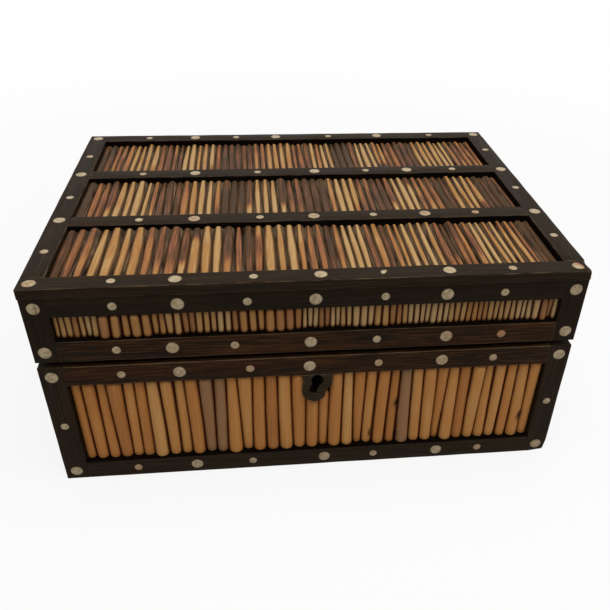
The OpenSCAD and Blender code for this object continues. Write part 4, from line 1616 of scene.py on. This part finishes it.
@dataclass
class Studio:
    """Floor, light and the camera at the photograph's angle."""

    eye_mm: tuple[float, float, float] = (-29.3, -422.7, 315.9)
    yaw_deg: float = 7.43
    pitch_deg: float = 35.81
    roll_deg: float = 1.86
    focal_px: float = 691.6
    centre_px: tuple[float, float] = (335.2, 347.3)
    frame_px: float = 610.0
    sensor_mm: float = 36.0
    floor_m: float = 12.0
    floor_shade: str = "#b0ada8"
    floor_seen: str = "#fafafa"
    shadow_m: tuple[float, float] = (0.3, 0.9)
    shadow_white: float = 0.84
    lamp_at_m: tuple[float, float, float] = (0.12, -0.25, 1.25)
    lamp_aim_m: tuple[float, float, float] = (0.0, 0.0, 0.06)
    lamp_size_m: float = 1.5
    lamp_watts: float = 17.0
    lamp_colour: tuple[float, float, float] = (1.0, 0.985, 0.96)
    ambient: float = 0.19
    ceiling: float = 0.3
    ceiling_rise: tuple[float, float] = (0.3, 0.6)

    def set_up(self) -> None:
        """Sets the stage, the light and the camera."""
        self.lay_floor()
        self.light()
        self.light_room()
        self.place_camera()
        bpy.context.scene.view_settings.view_transform = "Standard"

    def lay_floor(self) -> None:
        """Lays a pale floor that keeps the box's shadow and reads as white to the camera."""
        half = self.floor_m / 2
        corners = [(-half, -half, 0), (half, -half, 0), (half, half, 0), (-half, half, 0)]
        mesh = bpy.data.meshes.new("floor")
        mesh.from_pydata(corners, [], [(0, 1, 2, 3)])
        floor = bpy.data.objects.new("floor", mesh)
        bpy.context.scene.collection.objects.link(floor)
        recipe = Recipe("pale_floor_paper")
        seen = self.seen_rays(recipe)
        place = recipe.add("NewGeometry", output="Position")
        away = recipe.add("VectorMath", {0: place}, output="Value", operation="LENGTH")
        near, far = self.shadow_m
        whiteness = recipe.add(
            "MapRange",
            {"Value": away, "From Min": near, "From Max": far, "To Min": self.shadow_white, "To Max": 1.0},
        )
        share = recipe.add("Math", {0: seen, 1: whiteness}, operation="MULTIPLY")
        shades = {6: linear(self.floor_shade), 7: linear(self.floor_seen)}
        colour = recipe.add("Mix", {0: seen, **shades}, 2, data_type="RGBA")
        recipe.finish(colour, 0.9, Specular_IOR_Level=0.0)
        white = recipe.add("Emission", {"Color": (1, 1, 1, 1), "Strength": 1.0})
        both = recipe.add("MixShader", {0: share, 1: recipe.shader.outputs[0], 2: white})
        recipe.link(recipe.tree.nodes["Material Output"], {"Surface": both})
        mesh.materials.append(recipe.material)

    def seen_rays(self, recipe: Recipe, mirrored: float | Socket = 1.0) -> Socket:
        """One where a ray comes from the camera, and nought where it only lights something.

        Args:
            recipe: The recipe that the nodes belong to.
            mirrored: What it is where a ray comes from a reflection or glass.

        Returns:
            The socket with that share.
        """
        kinds = ("Is Glossy Ray", "Is Transmission Ray", "Is Camera Ray")
        glossy, through, camera = (recipe.add("LightPath", output=kind) for kind in kinds)
        shiny = recipe.add("Math", {0: glossy, 1: through}, operation="MAXIMUM")
        lit = recipe.add("Math", {0: shiny, 1: mirrored}, operation="MULTIPLY")
        return recipe.add("Math", {0: camera, 1: lit}, operation="MAXIMUM")

    def light(self) -> None:
        """Hangs one large soft lamp over the box."""
        lamp = bpy.data.lights.new("overhead_softbox", "AREA")
        lamp.shape = "SQUARE"
        lamp.size = self.lamp_size_m
        lamp.energy = self.lamp_watts
        lamp.color = self.lamp_colour
        hung = bpy.data.objects.new("overhead_softbox", lamp)
        hung.location = self.lamp_at_m
        hung.rotation_euler = (Vector(self.lamp_aim_m) - hung.location).to_track_quat("-Z", "Y").to_euler()
        bpy.context.scene.collection.objects.link(hung)

    def light_room(self) -> None:
        """Makes a dim room whose backdrop reads as white, under a ceiling that reads as grey."""
        world = bpy.data.worlds.new("dim_room_white_backdrop")
        bpy.context.scene.world = world
        recipe = Recipe(world.name, world)
        direction = recipe.add("TexCoord", output="Generated")
        height = recipe.add("SeparateXYZ", {0: direction}, output="Z")
        low, high = self.ceiling_rise
        mirrored = recipe.add(
            "MapRange",
            {"Value": height, "From Min": low, "From Max": high, "To Min": 1.0, "To Max": self.ceiling},
        )
        seen = self.seen_rays(recipe, mirrored)
        level = recipe.add("MapRange", {"Value": seen, "To Min": self.ambient, "To Max": 1.0})
        recipe.link(recipe.shader, {"Color": (1, 1, 1, 1), "Strength": level})

    def place_camera(self) -> None:
        """Places the camera where the photograph was taken from."""
        yaw, pitch, roll = (math.radians(a) for a in (self.yaw_deg, self.pitch_deg, self.roll_deg))
        level = math.cos(pitch)
        ahead = Vector((math.sin(yaw) * level, math.cos(yaw) * level, -math.sin(pitch)))
        level_right = Vector((math.cos(yaw), -math.sin(yaw), 0))
        level_up = level_right.cross(ahead)
        right = level_right * math.cos(roll) + level_up * math.sin(roll)
        up = level_up * math.cos(roll) - level_right * math.sin(roll)
        lens = bpy.data.cameras.new("photo_camera")
        lens.sensor_width = self.sensor_mm
        lens.lens = self.focal_px / self.frame_px * self.sensor_mm
        lens.shift_x = (self.frame_px / 2 - self.centre_px[0]) / self.frame_px
        lens.shift_y = (self.centre_px[1] - self.frame_px / 2) / self.frame_px
        camera = bpy.data.objects.new("photo_camera", lens)
        turn = Matrix((right, up, -ahead)).transposed().to_4x4()
        camera.matrix_world = Matrix.Translation(Vector(self.eye_mm) * MM) @ turn
        bpy.context.scene.collection.objects.link(camera)
        bpy.context.scene.camera = camera


BASE_FRONT_SPOTS = (
    Spot(34.6, 21.0, 1.6),
    Spot(49.8, 44.0, 2.2),
    Spot(50.8, 18.5, 1.8),
    Spot(129.3, 29.5, 2.7),
    # Round the keyhole: painted shade on the quills seen through and under it.
    Spot(0.3, 60.5, 7.2),
)
BASE_KNOCKS = (Knock((150.0, -112.5, 0.0), 7.0, 1.6),)
LID_KNOCKS = (Knock((151.0, -113.0, 134.0), 7.0, 1.3), Knock((151.0, -104.0, 134.0), 3.5, 2.4))


@dataclass
class Storey:
    """Rails, posts and quill panels of the base or of the lid's sides."""

    body: Body
    finishes: Finishes
    seed: int
    chance_seed: int
    post_seed_step: int = 40

    def dress_ebony(self) -> None:
        """Builds the rails and posts."""
        lid = self.body is Body.LID
        finishes = self.finishes
        top = finishes.black_rail if lid else finishes.brown_rail
        bottom = finishes.brown_rail if lid else finishes.post
        # Each rail keeps the lit ebony on its outer face and the listed rim; its other faces, such as the
        # ledge on top of a bottom rail, get painted shade.
        rows = (("top", top, () if lid else (Face.TOP,)), ("bottom", bottom, (Face.BOTTOM,)))
        for number, face in enumerate(WALLS):
            for step, (row, finish, rims) in enumerate(rows):
                node = f"{self.body.value}_{row}_rail_{face.name.lower()}"
                seed = self.seed + 3 * number + 1 + step
                rail = EbonyPiece(node, self.body, face.length_axis, seed, polished=(face, *rims))
                rail.build(finish, finishes.shade_and_grime)
        posts = EbonyPiece(
            f"{self.body.value}_corner_posts",
            self.body,
            Axis.Z,
            self.seed + self.post_seed_step,
            knocks=() if lid else BASE_KNOCKS,
        )
        posts.build(finishes.black_rail if lid else finishes.post, finishes.shade_and_grime)

    def dress_quills(
        self, slot: str, front: list[Bands], tones: dict[Tone, int], longest: int, **sizes: object
    ) -> None:
        """Builds the quill panels.

        Args:
            slot: Name of the quills' material slot, passed on to the panels.
            front: Colours of the front's quills.
            tones: Weights of the tones on the other faces.
            longest: The most quills of one tone together there.
            **sizes: Sizes that differ from a panel's usual ones.
        """
        base = self.body is Body.BASE
        finish = self.finishes.thick_quill if base else self.finishes.thin_quill
        for number, face in enumerate(WALLS):
            at_front = face is Face.FRONT
            QuillPanel(
                f"{self.body.value}_quills_{face.name.lower()}",
                face,
                self.body,
                slot,
                front if at_front else chance_row(self.chance_seed + number, tones, longest),
                self.seed + number,
                BASE_FRONT_SPOTS if at_front and base else (),
                **sizes,
            ).build(finish)


def dress_lid_top(finishes: Finishes) -> None:
    """Builds the strips, bars and quills of the top.

    Args:
        finishes: The finishes.
    """
    for face in WALLS:
        # Faces left out of these lists, such as the strips' inner walls except the left strip's, get painted
        # shade.
        ends = (Face.LEFT, Face.RIGHT) if face.length_axis is Axis.X else (Face.RIGHT,)
        TopStrip(
            f"top_strip_{face.name.lower()}",
            Body.LID,
            face.length_axis,
            90 + len(face.name),
            polished=(Face.TOP, face, *ends),
            knocks=LID_KNOCKS if face is Face.FRONT else (),
            face=face,
        ).build(finishes.strip, finishes.shade_and_grime)
    for side in ("front", "back"):
        # Only the bars' tops keep the lit ebony; their front and back faces get painted shade.
        bar = EbonyPiece(f"cross_bar_{side}", Body.LID, Axis.X, 100 + len(side), polished=(Face.TOP,))
        bar.build(finishes.strip, finishes.shade_and_grime)
    for number, (name, row) in enumerate(TOP_ROWS.items()):
        QuillPanel(
            f"top_quills_{name}",
            Face.TOP,
            Body.LID,
            "top_quill",
            row,
            80 + number,
            steps=5,
            rings=18,
            end_cap=0.8,
            fill=0.45,
            point=0.9,
            dirt_mm=0.5,
            lean_mm=0.8,
            sway_mm=0.5,
            drift=0.2,
        ).build(finishes.top_quill)


def dress_solids(finishes: Finishes) -> None:
    """Finishes the boards, hinges, screws and lock, which keep their solids.

    Args:
        finishes: The finishes.
    """
    grains = {"front": Axis.X, "back": Axis.X, "left": Axis.Y, "right": Axis.Y}
    boards = {f"{body}_{side}_board": grain for side, grain in grains.items() for body in ("base", "lid")}
    for node, grain in {**boards, "base_bottom_board": Axis.X, "lid_top_board": Axis.X}.items():
        soften(node, BOARD_EDGE_MM, finishes.wood[grain])
    hinges = ("hinge_base_leaves", "hinge_lid_leaves", "hinge_pins")
    for node in (*hinges, "base_screws", "lid_screws", "link_plate", "link_staples"):
        soften(node, METAL_EDGE_MM, finishes.brass)
    for node in ("lock_case", "lock_cover", "lock_bolt"):
        soften(node, METAL_EDGE_MM, finishes.dark_brass)


def write_sizes() -> None:
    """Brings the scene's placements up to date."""
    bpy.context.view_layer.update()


def main() -> None:
    """Builds and dresses the box, piece by piece."""
    logging.basicConfig(level=logging.INFO, format="%(message)s")
    Studio().set_up()
    finishes = Finishes()
    base = Storey(Body.BASE, finishes, seed=10, chance_seed=20)
    base.dress_ebony()
    base.dress_quills(
        "thick_quill",
        BASE_FRONT_ROW,
        BASE_TONES,
        longest=2,
        steps=6,
        rings=18,
        start_cap=0.26,
        dirt_mm=1.7,
        lean_mm=1.5,
        sway_mm=0.3,
        core=(0.93, 1.1),
    )
    lid = Storey(Body.LID, finishes, seed=60, chance_seed=30)
    lid.dress_ebony()
    lid.dress_quills(
        "thin_quill",
        LID_FRONT_ROW,
        LID_TONES,
        longest=3,
        rings=6,
        dirt_mm=2.6,
        lean_mm=0.6,
        sway_mm=0.1,
        core=(0.9, 1.15),
    )
    dress_lid_top(finishes)
    for size in ("large", "small"):
        PegSet(f"base_{size}_pegs", Body.BASE, BASE_BLEMISHES).build(finishes.bone)
        PegSet(f"lid_{size}_pegs", Body.LID, LID_BLEMISHES, seed=8).build(finishes.bone)
    Shield().build(finishes.shield, finishes.shade_and_grime)
    dress_solids(finishes)
    write_sizes()


if __name__ == "__main__":
    main()
